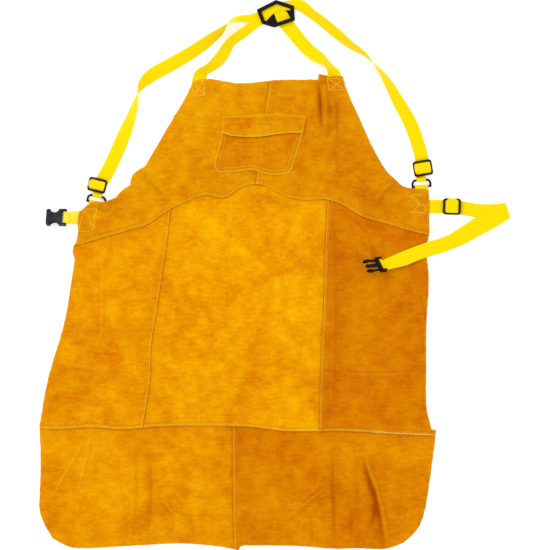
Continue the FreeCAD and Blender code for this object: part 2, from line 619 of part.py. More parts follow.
# ---- build: waist strap and buckle ----
fold_line = Vector(FOLD_LOW[0] - FOLD_TOP[0], FOLD_LOW[1] - FOLD_TOP[1], 0)
fold = Part.makeCylinder(FOLD_Z, fold_line.Length, Vector(*FOLD_TOP, FOLD_Z), fold_line)
beyond_fold = polygon([(420, 150), (439.3, 90), (500, 90), (500, 150)])
export("waist_strap_inner", waist_inner.cut(plate(beyond_fold, -1, 5)))
tail = ribbon(WAIST_TAIL).fuse(fold)
export("waist_strap_tail", tail.fuse(webbing_on_bar(PLUG_AXES, PLUG_AT, 23.0, 13.0)))
stub = ribbon(WAIST_STUB).fuse(webbing_on_bar(SOCKET_AXES, SOCKET_AT, 23.0, 9.0))
export("waist_stub", stub)
export("buckle_socket", place_in(buckle_socket(), SOCKET_AXES, SOCKET_AT))
export("buckle_plug", place_in(buckle_plug(), PLUG_AXES, PLUG_AT))
export("buckle_prong_upper", place_in(buckle_prong(-1), PLUG_AXES, PLUG_AT))
export("buckle_prong_lower", place_in(buckle_prong(1), PLUG_AXES, PLUG_AT))
for name, axes in (("socket", SOCKET_AXES), ("plug", PLUG_AXES)):
    print(name, "axes", [tuple(round(c, 4) for c in a) for a in axes])
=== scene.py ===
"""The split-leather welding apron and its webbing harness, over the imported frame.

Lengths are in millimetres until a mesh is made. The frame's +X is the right of the laid-out
apron, +Y runs up towards the neck and +Z points out of the surface that it lies on.
"""
import bpy
import bmesh
import math
import numpy as np
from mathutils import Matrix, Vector
from mathutils.geometry import delaunay_2d_cdt


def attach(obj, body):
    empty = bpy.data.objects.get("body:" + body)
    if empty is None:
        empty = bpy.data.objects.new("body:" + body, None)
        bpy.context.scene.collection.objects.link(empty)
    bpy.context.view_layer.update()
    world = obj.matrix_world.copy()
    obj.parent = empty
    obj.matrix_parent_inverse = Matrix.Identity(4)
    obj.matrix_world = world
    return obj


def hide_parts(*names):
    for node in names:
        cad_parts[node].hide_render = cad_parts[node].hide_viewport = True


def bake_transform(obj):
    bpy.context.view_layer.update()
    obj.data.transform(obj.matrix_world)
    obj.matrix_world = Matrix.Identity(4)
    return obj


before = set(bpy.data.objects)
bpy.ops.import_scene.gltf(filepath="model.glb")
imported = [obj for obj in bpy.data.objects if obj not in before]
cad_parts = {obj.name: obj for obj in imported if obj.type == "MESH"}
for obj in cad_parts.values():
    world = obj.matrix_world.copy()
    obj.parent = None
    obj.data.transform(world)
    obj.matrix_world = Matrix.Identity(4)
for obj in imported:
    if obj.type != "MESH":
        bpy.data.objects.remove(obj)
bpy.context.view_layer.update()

MM = 0.001
LEATHER = 1.4            # thickness of one layer
LAP = 10.0               # how far a lapped seam's upper layer reaches over the lower one
WEB = 25.0               # width of the webbing, then its thickness
WEB_T = 1.3
WEB_MID = WEB_T / 2
RING_Z = 3.55            # height of the middle of a ring's wire
LOOP_MID = 2.9           # from a bar's middle to the middle of the webbing round it
LAID_BACK = WEB_T + 0.15 - LOOP_MID      # height over the bar of webbing laid back on itself

# ---- camera ----
VIEW_WIDTH = 1.0175      # width of the surface that the picture takes in
LENS = 150.0
camera = bpy.data.objects.new("camera", bpy.data.cameras.new("camera"))
bpy.context.scene.collection.objects.link(camera)
camera.data.lens = LENS
camera.data.clip_end = 20.0
camera.location = (0, 0, VIEW_WIDTH * LENS / camera.data.sensor_width)
bpy.context.scene.camera = camera
bpy.context.scene.view_settings.view_transform = "Standard"


# ---- curves and regions in the plane ----
def natural(t, y, s):
    """Values at s of the natural cubic spline through the rows of y at t."""
    n, h = len(t), np.diff(t)
    a, b = np.zeros((n, n)), np.zeros(y.shape)
    a[0, 0] = a[-1, -1] = 1.0
    for i in range(1, n - 1):
        a[i, i - 1:i + 2] = h[i - 1], 2 * (h[i - 1] + h[i]), h[i]
        b[i] = 6 * ((y[i + 1] - y[i]) / h[i] - (y[i] - y[i - 1]) / h[i - 1])
    m = np.linalg.solve(a, b)
    k = np.clip(np.searchsorted(t, s, side="right") - 1, 0, n - 2)
    w, u, v = h[k][:, None], (s - t[k])[:, None], (t[k + 1] - s)[:, None]
    return ((m[k] * v ** 3 + m[k + 1] * u ** 3) / (6 * w) + (y[k] / w - m[k] * w / 6) * v
            + (y[k + 1] / w - m[k + 1] * w / 6) * u)


def spline(points, spacing=2.5):
    """Points about spacing apart along a smooth curve through the given ones."""
    p = np.array(points, float)
    t = np.concatenate([[0], np.cumsum(np.linalg.norm(np.diff(p[:, :2], axis=0), axis=1))])
    s = np.linspace(0, t[-1], max(2, int(round(t[-1] / spacing)) + 1))
    if len(p) == 2:
        return p[0] + (p[1] - p[0]) * (s / t[-1])[:, None]
    return natural(t, p, s)


def outline(*runs):
    """A closed polygon of smooth runs, where each starts at the end of the one before."""
    ends = [runs[(i + 1) % len(runs)][0] for i in range(len(runs))]
    return np.concatenate([spline(list(run) + [end])[:-1] for run, end in zip(runs, ends)])


class Seam:
    """A seam line. It gives y for each x, or x for each y if it runs up the apron."""

    def __init__(self, points, up=False):
        p = spline(points, 1.0)
        t, v = (p[:, 1], p[:, 0]) if up else (p[:, 0], p[:, 1])
        order = np.argsort(t)
        self.t, self.v, self.up = t[order], v[order], up

    def at(self, t):
        return np.interp(t, self.t, self.v)

    def off(self, x, y):
        """How far a place is to the right of the seam, or above it."""
        return x - self.at(y) if self.up else y - self.at(x)

    def line(self, start, end, shift=0.0, spacing=2.5):
        """Points along a stretch of the seam, moved off it by shift."""
        t = np.linspace(start, end, max(2, int(abs(end - start) / spacing) + 1))
        v = self.at(t) + shift
        return np.stack([v, t] if self.up else [t, v], axis=1)


def clip(polygon, seam, side, shift=0.0):
    """The part of a polygon on one side of a shifted seam: side is 1 above or right, or -1."""
    f = side * (seam.off(polygon[:, 0], polygon[:, 1]) - shift)
    path = []
    for i in range(len(polygon)):
        a, b, fa, fb = polygon[i], polygon[(i + 1) % len(polygon)], f[i], f[(i + 1) % len(polygon)]
        if fa >= 0:
            path.append((a, None))
        if (fa >= 0) != (fb >= 0):
            path.append((a + (b - a) * fa / (fa - fb), "out" if fa >= 0 else "in"))
    first = next((i for i, (_, crossing) in enumerate(path) if crossing == "in"), 0)
    path = path[first:] + path[:first]
    points = []
    for i, (p, crossing) in enumerate(path):
        points.append(p)
        if crossing == "out":
            q = path[(i + 1) % len(path)][0]
            k = 1 if seam.up else 0
            points += list(seam.line(p[k], q[k], shift))[1:-1]
    return np.array(points)


def region(polygon, *cuts):
    """A polygon cut by seams: for each the seam, the side that is kept and the shift."""
    for seam, side, shift in cuts:
        polygon = clip(polygon, seam, side, shift)
    return polygon


def distance_to(points, line):
    """Distance of points to a polyline, which side they are on, and how far along it they lie."""
    a, b = line[:-1], line[1:]
    best = np.full(len(points), 1e9)
    sign = np.ones(len(points))
    place = np.zeros(len(points))
    lengths = np.linalg.norm(b - a, axis=1)
    starts = np.concatenate([[0], np.cumsum(lengths)[:-1]])
    for p, q, length, start in zip(a, b, lengths, starts):
        d = (q - p) / length
        rel = points - p
        t = np.clip(rel @ d, 0, length)
        gap = np.linalg.norm(rel - t[:, None] * d, axis=1)
        near = gap < best
        best[near] = gap[near]
        sign[near] = np.sign(d[0] * rel[near, 1] - d[1] * rel[near, 0])
        place[near] = start + t[near]
    return best, sign, place / lengths.sum()


def close_to(line, x, y, margin):
    """Which places lie near a line, with their distances, sides and places along it."""
    points = np.stack([x, y], axis=1)
    low, high = line.min(axis=0) - margin, line.max(axis=0) + margin
    close = ((points > low) & (points < high)).all(axis=1)
    return close, *distance_to(points[close], line)


def fading(place, end, power=0.6):
    """Strength along a crease, which dies away towards both ends."""
    return np.sin(math.pi * np.clip(place, end, 1 - end)) ** power


def inside(points, polygon):
    """Which points a polygon holds, by counting crossings."""
    x, y = points[:, 0], points[:, 1]
    hit = np.zeros(len(points), bool)
    for (x0, y0), (x1, y1) in zip(polygon, np.roll(polygon, -1, axis=0)):
        if y0 != y1:
            crosses = ((y0 > y) != (y1 > y)) & (x < (x1 - x0) * (y - y0) / (y1 - y0) + x0)
            hit ^= crosses
    return hit


# ---- the leather's outline and its seams ----
SKIRT_AND_BIB = outline(
    [(-152, 357), (-128, 362), (-76, 355), (-9, 359), (44, 361)],
    [(80, 361)],
    [(81, 372), (98, 368)],
    [(126, 367), (131, 347), (142, 320), (160, 281)],
    [(176, 244), (191, 216), (208, 190)],
    [(223, 176), (237, 164), (254, 160)],
    [(284, 156), (285, 110)],
    [(285, 75), (281, 61), (283, 9), (281, -68), (279, -120), (279, -198), (281, -250)],
    [(289, -284)],
    [(289, -310)],
    [(-435, -310)],
    [(-435, -282), (-426, -224), (-414, -172), (-398, -120), (-385, -68), (-377, -17)],
    [(-370, 28), (-372, 54)],
    [(-367, 61), (-364, 87), (-360, 117)],
    [(-353, 124), (-342, 131.5), (-331, 135.5), (-316, 135), (-304, 138.5), (-294, 144), (-286, 153)],
    [(-267, 166), (-262, 186)],
    [(-249, 196)],
    [(-241, 200), (-224, 228), (-188, 290), (-161, 337)],
)
HEM = outline(
    [(-435, -250)],
    [(-435, -285), (-433, -353), (-435, -405), (-434, -438), (-428, -457)],
    [(-412, -485), (-395, -496), (-377, -503), (-352, -505), (-296, -502), (-228, -498),
     (-165, -496), (-118, -500), (-83, -505)],
    [(-68, -509), (-62, -501)],
    [(-48, -500), (1, -500), (61, -502), (115, -506), (155, -505), (213, -504)],
    [(238, -494), (262, -471), (276, -438), (282, -406), (289, -357), (297, -296)],
    [(298, -287)],
    [(298, -250)],
)
YOKE = Seam([(-380, 52), (-330, 66), (-265, 85), (-235, 95), (-196, 121), (-161, 137), (-123, 148),
             (-96, 143), (-68, 159), (-17, 165), (7, 152), (59, 139), (94, 140), (123, 131),
             (161, 109), (204, 96), (237, 86), (300, 71)])
HEM_TOP = Seam([(-450, -282), (-390, -284), (-337, -281), (-287, -285), (-245, -282), (-78, -279),
                (-48, -280), (7, -287), (99, -288), (170, -290), (224, -293), (310, -297)])
LEFT = Seam([(-191, 170), (-194, 118), (-207, 15), (-220, -70), (-230, -141), (-231, -182),
             (-236, -227), (-245, -281), (-250, -320)], up=True)
RIGHT = Seam([(98, 170), (97, 135), (92, 13), (90, -68), (86, -150), (83, -283), (82, -320)], up=True)
BIB = Seam([(-5, 380), (-9, 358), (-18, 298), (-33, 185), (-40, 130)], up=True)
HEM_CENTRE = Seam([(-78, -250), (-78, -281), (-77, -411), (-74, -530)], up=True)

PANELS = {
    "skirt_centre": region(SKIRT_AND_BIB, (YOKE, -1, LAP), (HEM_TOP, 1, 0), (LEFT, 1, -LAP),
                           (RIGHT, -1, LAP)),
    "skirt_left": region(SKIRT_AND_BIB, (YOKE, -1, LAP), (HEM_TOP, 1, 0), (LEFT, -1, 0)),
    "skirt_right": region(SKIRT_AND_BIB, (YOKE, -1, LAP), (HEM_TOP, 1, 0), (RIGHT, 1, 0)),
    "hem_band_left": region(HEM, (HEM_TOP, -1, LAP), (HEM_CENTRE, -1, LAP)),
    "hem_band_right": region(HEM, (HEM_TOP, -1, LAP), (HEM_CENTRE, 1, 0)),
    "bib_left": region(SKIRT_AND_BIB, (YOKE, 1, 0), (BIB, -1, LAP)),
    "bib_right": region(SKIRT_AND_BIB, (YOKE, 1, 0), (BIB, 1, 0)),
}
# The seams where each panel is the upper layer and where it is the lower one, and its side of them.
UPPER_AT = {"skirt_centre": [(HEM_TOP, 1)], "skirt_left": [(HEM_TOP, 1), (LEFT, -1)],
            "skirt_right": [(HEM_TOP, 1), (RIGHT, 1)], "hem_band_left": [],
            "hem_band_right": [(HEM_CENTRE, 1)], "bib_left": [(YOKE, 1)],
            "bib_right": [(YOKE, 1), (BIB, 1)]}
LOWER_AT = {"skirt_centre": [(YOKE, -1), (LEFT, 1), (RIGHT, -1)], "skirt_left": [(YOKE, -1)],
            "skirt_right": [(YOKE, -1)], "hem_band_left": [(HEM_TOP, -1), (HEM_CENTRE, -1)],
            "hem_band_right": [(HEM_TOP, -1)], "bib_left": [(BIB, -1)], "bib_right": []}

# ---- how the leather lies ----
# Creases: points along each, height (negative is a valley), width on its left and on its right, and
# how much painted shade and how much painted highlight lie along it.
CREASES = [
    ([(-67, 154), (-40, 149), (-10, 139), (17, 124)], 3.0, 5, 12, 0.30, 0.2),
    ([(-30, 152), (0, 140), (30, 128)], 1.6, 5, 9, 0.16, 0.1),
    ([(-319, 23), (-318, -50), (-320, -124)], 1.2, 4, 7, 0.16, 0.34),
    ([(-319, -104), (-270, -106), (-222, -103)], 1.5, 4, 9, 0.26, 0.2),
    ([(-376, -80), (-345, -90), (-313, -96)], 0.9, 3, 6, 0.12, 0.3),
    ([(-362, -92), (-335, -98), (-300, -99)], 0.7, 3, 5, 0.10, 0.2),
    ([(-411, -176), (-362, -176), (-313, -184)], 2.2, 5, 16, 0.30, 0.15),
    ([(-398, -205), (-360, -202), (-326, -203)], 1.0, 3, 7, 0.10, 0.3),
    ([(-341, -252), (-338, -272), (-332, -290)], 0.9, 4, 6, 0.15, 0.15),
    ([(-318, -248), (-316, -270), (-312, -288)], 0.8, 4, 6, 0.12, 0.15),
    ([(-350, -304), (-378, -352), (-412, -412)], 2.0, 5, 12, 0.10, 0.42),
    ([(-338, -285), (-350, -350), (-368, -414)], 1.8, 5, 12, 0.12, 0.36),
    ([(-262, -300), (-260, -400), (-266, -498)], 1.5, 9, 14, 0.16, 0.22),
    ([(-236, -320), (-232, -410), (-238, -490)], 1.3, 6, 10, 0.24, 0.0),
    ([(-214, -414), (-206, -430), (-196, -440), (-190, -462)], 1.8, 4, 7, 0.34, 0.1),
    ([(-200, -402), (-182, -414), (-172, -438)], 1.4, 4, 7, 0.26, 0.1),
    ([(-200, -402), (-172, -398), (-150, -410), (-120, -418), (-92, -440)], 1.6, 5, 9, 0.20, 0.14),
    ([(-200, -402), (-196, -424), (-176, -444), (-140, -446), (-92, -440)], 1.6, 5, 9, 0.20, 0.14),
    ([(46, -426), (74, -405), (102, -385)], 1.8, 4, 12, 0.34, 0.2),
    ([(102, -385), (60, -422), (13, -461)], 1.4, 5, 10, 0.16, 0.1),
    ([(64, -449), (66, -475), (66, -498)], 1.0, 4, 6, 0.30, 0.1),
    ([(107, -318), (108, -400), (112, -500)], -1.6, 8, 8, 0.42, 0.0),
    ([(102, -307), (138, -311), (174, -321)], 1.2, 4, 8, 0.20, 0.1),
    ([(168, -330), (178, -360), (191, -398), (203, -450), (213, -503)], 5.0, 5, 22, 0.10, 0.28),
    ([(165, -340), (176, -385), (188, -420), (196, -465), (202, -503)], -1.8, 6, 12, 0.66, 0.0),
    ([(158, -320), (164, -362), (181, -402), (175, -458), (157, -501)], 2.2, 7, 9, 0.34, 0.0),
    ([(134, -420), (138, -460), (136, -500)], 1.4, 7, 9, 0.24, 0.0),
    ([(107, 110), (109, -60), (105, -270)], 1.4, 6, 14, 0.20, 0.12),
    ([(107, -179), (190, -182), (281, -178)], 1.6, 4, 10, 0.24, 0.22),
    ([(203, -68), (240, -71), (270, -66)], 1.4, 4, 9, 0.20, 0.2),
    ([(253, -9), (272, -63), (277, -178)], 1.8, 4, 9, 0.24, 0.2),
    ([(82, 358), (84, 318), (87, 272)], -2.6, 5, 8, 0.95, 0.0),
    ([(92, 352), (95, 318), (96, 270)], 3.0, 5, 10, 0.0, 0.2),
    ([(108, 330), (112, 290), (110, 240)], 1.6, 6, 9, 0.26, 0.1),
    ([(-248, 194), (-226, 168), (-199, 142)], -3.0, 7, 10, 0.34, 0.0),
    ([(-262, 200), (-240, 186), (-222, 168)], 3.0, 8, 10, 0.05, 0.2),
    ([(-224, 135), (-212, 137), (-202, 135)], 1.8, 4, 7, 0.30, 0.2),
    ([(223, 176), (205, 158), (187, 138)], 4.0, 8, 14, 0.22, 0.2),
    ([(-150, 100), (-110, 60), (-90, 0)], 1.8, 14, 24, 0.10, 0.06),
    ([(-20, 60), (10, -30), (0, -120)], 1.6, 16, 26, 0.10, 0.06),
    ([(-180, -200), (-100, -215), (-20, -190)], 1.8, 14, 24, 0.10, 0.06),
    ([(150, 60), (190, 20), (210, -40)], 1.8, 12, 20, 0.16, 0.1),
    ([(130, 110), (170, 70), (180, 20)], 1.5, 8, 16, 0.16, 0.1),
    ([(-60, -330), (20, -350), (90, -330)], 1.8, 12, 22, 0.12, 0.06),
    ([(-300, -460), (-240, -440), (-180, -470)], 1.8, 8, 18, 0.14, 0.1),
    ([(-190, 240), (-150, 230), (-110, 225)], 1.6, 7, 14, 0.14, 0.12),
    ([(-120, 175), (-90, 168), (-60, 172)], 1.4, 5, 9, 0.22, 0.1),
    ([(120, 200), (150, 180), (175, 150)], 1.8, 6, 12, 0.20, 0.12),
    ([(-340, 40), (-300, 25), (-250, 32)], 1.4, 6, 12, 0.14, 0.1),
    ([(-300, -20), (-260, -30), (-225, -20)], 1.4, 6, 12, 0.12, 0.1),
]
CREASES = [(spline(points, 6.0), *rest) for points, *rest in CREASES]
# Broad darker stretches beside the folds, partly darker nap and partly painted shade: points along each, half
# width and darkness.
DARK_NAP_AND_SHADE = [
    ([(94, 356), (99, 320), (100, 258)], 10, 0.46),
    ([(112, 320), (118, 270), (112, 215)], 12, 0.24),
    ([(128, 168), (160, 150), (205, 126)], 14, 0.28),
    ([(-40, 146), (0, 132), (36, 124)], 8, 0.16),
    ([(112, 100), (120, 0), (118, -100), (112, -260)], 14, 0.10),
    ([(240, -20), (250, -90), (262, -170)], 10, 0.12),
    ([(180, -345), (184, -410), (184, -502)], 12, 0.36),
    ([(148, -330), (152, -400), (150, -500)], 7, 0.24),
    ([(116, -330), (114, -420), (118, -500)], 9, 0.16),
    ([(-236, -330), (-232, -410), (-236, -500)], 9, 0.16),
    ([(-178, -420), (-160, -450), (-150, -495)], 10, 0.16),
    ([(-404, -170), (-360, -186), (-318, -192)], 10, 0.14),
    ([(-376, -86), (-340, -104), (-300, -108)], 9, 0.10),
    ([(-252, 186), (-228, 160), (-204, 140)], 9, 0.16),
    ([(-120, 178), (-80, 172), (-40, 176)], 7, 0.12),
]
DARK_NAP_AND_SHADE = [(spline(points, 8.0), *rest) for points, *rest in DARK_NAP_AND_SHADE]


def waves(seed, count, shortest, longest):
    """Directions, lengths and phases of a gentle unevenness, the same on every run."""
    rng = np.random.default_rng(seed)
    angle = rng.uniform(0, math.pi, count)
    size = np.exp(rng.uniform(math.log(shortest), math.log(longest), count))
    return np.stack([np.cos(angle), np.sin(angle)]) * 2 * math.pi / size, rng.uniform(0, 6.28, count)


BROAD = waves(3, 14, 120, 320)
SMALL = waves(11, 26, 22, 60)


def uneven(kind, x, y):
    """From about -1 to 1."""
    k, phase = kind
    total = np.sin(np.multiply.outer(x, k[0]) + np.multiply.outer(y, k[1]) + phase).sum(axis=-1)
    return total / (1.3 * math.sqrt(len(phase)))


def lie(x, y):
    """Height of the leather's underside where it is a single layer."""
    x, y = np.atleast_1d(np.asarray(x, float)), np.atleast_1d(np.asarray(y, float))
    z = 2.2 + 1.7 * uneven(BROAD, x, y) + 0.42 * uneven(SMALL, x, y)
    for line, height, near, far, _, _ in CREASES:
        close, gap, sign, place = close_to(line, x, y, 4 * far)
        width = np.where(sign > 0, near, far)
        z[close] += height * np.exp(-(gap / width) ** 2) * fading(place, 0.04)
    return np.log1p(np.exp(z * 1.6)) / 1.6


def step(v):
    """A smooth rise from 0 to 1."""
    v = np.clip(v, 0, 1)
    return v * v * (3 - 2 * v)


def lap(v):
    """1 where a lapped seam has two layers, v being the distance in from the upper layer's edge."""
    return step((v + 3) / 3) * step((LAP + 5 - v) / 5)


FURROW = 4.6             # from an upper layer's edge to its row of stitching
DARKEST = 0.9            # limit of the painted shade, from 0 to 1


def rolled(v, strength=1.0):
    """The upper layer's raised edge, and the furrow that its stitching draws."""
    v = np.clip(v, -2, 60)
    return strength * (1.0 * np.exp(-((v - 1.4) / 1.5) ** 2) - 0.55 * np.exp(-((v - FURROW) / 1.2) ** 2)
                       + 0.5 * np.exp(-((v - 9) / 3.0) ** 2))


# Webbing that the leather covers: ends of its middle line, half width and height.
COVERED = [
    ((112.5, 341.0), (109.5, 372.0), 12.5, 1.4),
    ((-144.0, 331.0), (-138.0, 370.0), 12.5, 1.4),
    ((-374.0, 106.0), (-353.0, 106.0), 12.5, 1.4),
    ((262.0, 126.5), (300.0, 126.5), 12.5, 1.4),
    ((-341.0, 87.0), (-331.5, 132.0), 12.0, 2.8),
    ((272.5, 141.5), (271.0, 163.0), 12.0, 2.8),
]


def covered(x, y):
    """How much the leather rises over the webbing sewn behind it."""
    z = np.zeros(len(x))
    for a, b, half, height in COVERED:
        length = math.dist(a, b)
        dx, dy = (b[0] - a[0]) / length, (b[1] - a[1]) / length
        along = (x - a[0]) * dx + (y - a[1]) * dy
        across = np.abs((x - a[0]) * dy - (y - a[1]) * dx)
        z = np.maximum(z, height * step((half + 3 - across) / 3) * step((along + 3) / 3)
                       * step((length + 6 - along) / 3))
    return z


# The left ring's bar and the end of its bow that the leather covers, and the heights that clear them.
COVERED_RING = np.array([(-345.0, 137.0), (-314.9, 130.6), (-313.6, 136.5)])
OVER_BAR, OVER_BOW = 8.0, 10.6


def over_ring(x, y):
    """Height that clears the left ring and the webbing turned round it."""
    gap = distance_to(np.stack([x, y], axis=1), COVERED_RING)[0]
    return (OVER_BAR + (OVER_BOW - OVER_BAR) * step((x + 327) / 9)) * step((17.5 - gap) / 11)


def base(panel, x, y):
    """Height of a panel's underside."""
    z = lie(x, y)
    side = lap(-LEFT.off(x, y)) + lap(RIGHT.off(x, y))
    yoke, hem = YOKE.off(x, y), HEM_TOP.off(x, y)
    if panel.startswith("skirt"):
        z = z + lap(hem) * LEATHER * (1 + lap(HEM_CENTRE.off(x, y))) + rolled(hem)
        if panel == "skirt_left":
            z = z + LEATHER * lap(-LEFT.off(x, y)) + rolled(-LEFT.off(x, y))
        if panel == "skirt_right":
            z = z + LEATHER * lap(RIGHT.off(x, y)) + rolled(RIGHT.off(x, y))
    if panel.startswith("bib"):
        z = z + lap(yoke) * (LEATHER + LEATHER * side) + rolled(yoke) + covered(x, y)
        z = np.maximum(z, over_ring(x, y))
        if panel == "bib_right":
            # The flap folds back onto the seam here.
            strength = 1 - 0.9 * step((y - 286) / 6) * step((312 - y) / 6)
            z = z + LEATHER * lap(BIB.off(x, y)) + rolled(BIB.off(x, y), strength)
    if panel == "hem_band_right":
        z = z + LEATHER * lap(HEM_CENTRE.off(x, y)) + rolled(HEM_CENTRE.off(x, y))
    return z


def shadow(panel, x, y):
    """Painted shade in creases and furrows, darker stretches, and a painted shadow along an overlying layer's
    edge.
    """
    dark = np.zeros(len(x))
    # Painted shade along each crease.
    for line, height, near, far, deep, _ in CREASES:
        close, gap, sign, place = close_to(line, x, y, 30)
        offset = gap * sign - (0 if height < 0 else 0.6 * near)
        wide = np.where(offset > 0, 2.2, 0.5 * far + 1.5)
        dark[close] += deep * np.exp(-(offset / wide) ** 2) * fading(place, 0.03)
    patchy = 0.75 + 0.45 * uneven(SMALL, 1.7 * x, 1.1 * y)
    # Broad darker stretches, partly darker nap and partly painted shade.
    for line, half, amount in DARK_NAP_AND_SHADE:
        close, gap, _, place = close_to(line, x, y, 3 * half)
        dark[close] += amount * np.exp(-(gap / half) ** 2) * fading(place, 0.1, 0.5) * patchy[close]
    # A painted shadow on this layer along the edge of the layer that lies on it.
    for seam, side in LOWER_AT[panel]:
        v = side * seam.off(x, y)
        away = np.maximum(v, 0)
        dark += np.where(v > -1, 0.62 * np.exp(-away / 1.3) + 0.12 * np.exp(-away / 9), 0)
    # Painted shade in the furrow that an upper layer's stitching draws.
    for seam, side in UPPER_AT[panel]:
        dark += 0.24 * np.exp(-((side * seam.off(x, y) - FURROW) / 1.3) ** 2)
    return np.clip(dark, 0, DARKEST)


def bright(panel, x, y):
    """Painted highlights on an upper layer's raised edge and along the creases' crests, and paler frayed nap
    by the hem.
    """
    pale = np.zeros(len(x))
    # A painted highlight along an upper layer's raised edge.
    for seam, side in UPPER_AT[panel]:
        pale += 0.50 * np.exp(-((side * seam.off(x, y) - 1.0) / 1.5) ** 2)
    # A painted highlight along each crease's crest.
    for line, _, near, _, _, light in CREASES:
        close, gap, sign, place = close_to(line, x, y, 12)
        pale[close] += light * np.exp(-((gap * sign + 0.4 * near) / 2.0) ** 2) * fading(place, 0.03)
    if panel == "skirt_right":
        frayed = step((x - 180) / 30) * (0.6 + 0.4 * uneven(SMALL, 3 * x, 3 * y))
        pale += frayed * np.exp(-(HEM_TOP.off(x, y) / 1.8) ** 2)
    return np.clip(pale, 0, 1)


# ---- meshes ----
def make(name, points, faces):
    """A new object from points in millimetres."""
    mesh = bpy.data.meshes.new(name)
    mesh.from_pydata((np.asarray(points, float) * MM).tolist(), [], [list(map(int, f)) for f in faces])
    mesh.validate()
    mesh.shade_smooth()
    obj = bpy.data.objects.new(name, mesh)
    bpy.context.scene.collection.objects.link(obj)
    return obj


def paint(obj, name, values):
    """One number for each of a mesh's points, for its material."""
    attribute = obj.data.attributes.new(name, "FLOAT", "POINT")
    attribute.data.foreach_set("value", np.asarray(values, np.float32))


ROW_STEP = 0.866         # between the rows of a grid of even triangles, as a share of their side


def triangulate(polygon, spacing):
    """Points and triangles that fill a polygon evenly."""
    keep = np.linalg.norm(polygon - np.roll(polygon, 1, axis=0), axis=1) > 0.5
    polygon = polygon[keep]
    low, high = polygon.min(axis=0), polygon.max(axis=0)
    rows = np.arange(low[1], high[1], spacing * ROW_STEP)
    columns = np.arange(low[0], high[0], spacing)
    grid = np.array([(x + (spacing / 2 if i % 2 else 0), y) for i, y in enumerate(rows) for x in columns])
    grid = grid[inside(grid, polygon)]
    gap = distance_to(grid, np.vstack([polygon, polygon[:1]]))[0]
    grid = grid[gap > 0.6 * spacing]
    points = [Vector(p) for p in np.vstack([polygon, grid])]
    verts, _, faces, _, _, _ = delaunay_2d_cdt(points, [], [list(range(len(polygon)))], 1, 1e-4)
    return np.array([tuple(v) for v in verts]), [tuple(f) for f in faces]


EDGE_BULGE = 0.35        # how far a cut edge's middle stands out
TOP_DROP = 0.25          # how much its upper and lower corners are rounded over
BOTTOM_LIFT = 0.15


def hide(name, polygon, low, ragged, spacing=2.7):
    """A piece of leather with an uneven cut edge: low gives the height of its underside.
    Returns the object, its places in plan and their distances from the edge."""
    wander = uneven(SMALL, polygon[:, 0] * 2.3, polygon[:, 1] * 2.3) * ragged
    along = np.roll(polygon, -1, axis=0) - np.roll(polygon, 1, axis=0)
    along /= np.linalg.norm(along, axis=1)[:, None] + 1e-9
    polygon = polygon + np.stack([along[:, 1], -along[:, 0]], axis=1) * wander[:, None]
    flat, faces = triangulate(polygon, spacing)
    if sum(np.cross(flat[b] - flat[a], flat[c] - flat[a]) for a, b, c in faces[:50]) < 0:
        faces = [f[::-1] for f in faces]
    n = len(flat)
    z = low(flat[:, 0], flat[:, 1])
    sides = {side: None for f in faces for side in zip(f, f[1:] + f[:1])}
    rim = [(a, b) for a, b in sides if (b, a) not in sides]
    after, before = dict(rim), {b: a for a, b in rim}
    edge = [a for a, _ in rim]
    middle = {a: 2 * n + i for i, a in enumerate(edge)}
    out = []
    for a in edge:
        d = flat[after[a]] - flat[before[a]]
        d /= np.linalg.norm(d) + 1e-9
        out.append((flat[a][0] + EDGE_BULGE * d[1], flat[a][1] - EDGE_BULGE * d[0], z[a] + LEATHER * 0.5))
    top = np.column_stack([flat, z + LEATHER])
    bottom = np.column_stack([flat, z])
    top[edge, 2] -= TOP_DROP
    bottom[edge, 2] += BOTTOM_LIFT
    quads = []
    for a, b in rim:
        quads.append((a, middle[a], middle[b], b))
        quads.append((middle[a], a + n, b + n, middle[b]))
    solid = [tuple(f) for f in faces] + [(c + n, b + n, a + n) for a, b, c in faces] + quads
    obj = make(name, np.vstack([top, bottom, np.array(out)]), solid)
    return obj, flat, distance_to(flat, np.vstack([polygon, polygon[:1]]))[0]


def colour_leather(obj, gap, dark, pale, raw=0.5):
    """Paints the upper face with painted shade and painted highlights, an even underside and a raw cut edge.
    """
    n = len(gap)
    shade = np.zeros(len(obj.data.vertices))
    light = np.full(len(shade), raw)
    shade[:n] = dark
    light[:n] = np.clip(pale + raw * 0.5 * np.exp(-(gap / 0.9) ** 2), 0, 1)
    light[n:2 * n] = 0.25
    paint(obj, "dark", shade)
    paint(obj, "pale", light)


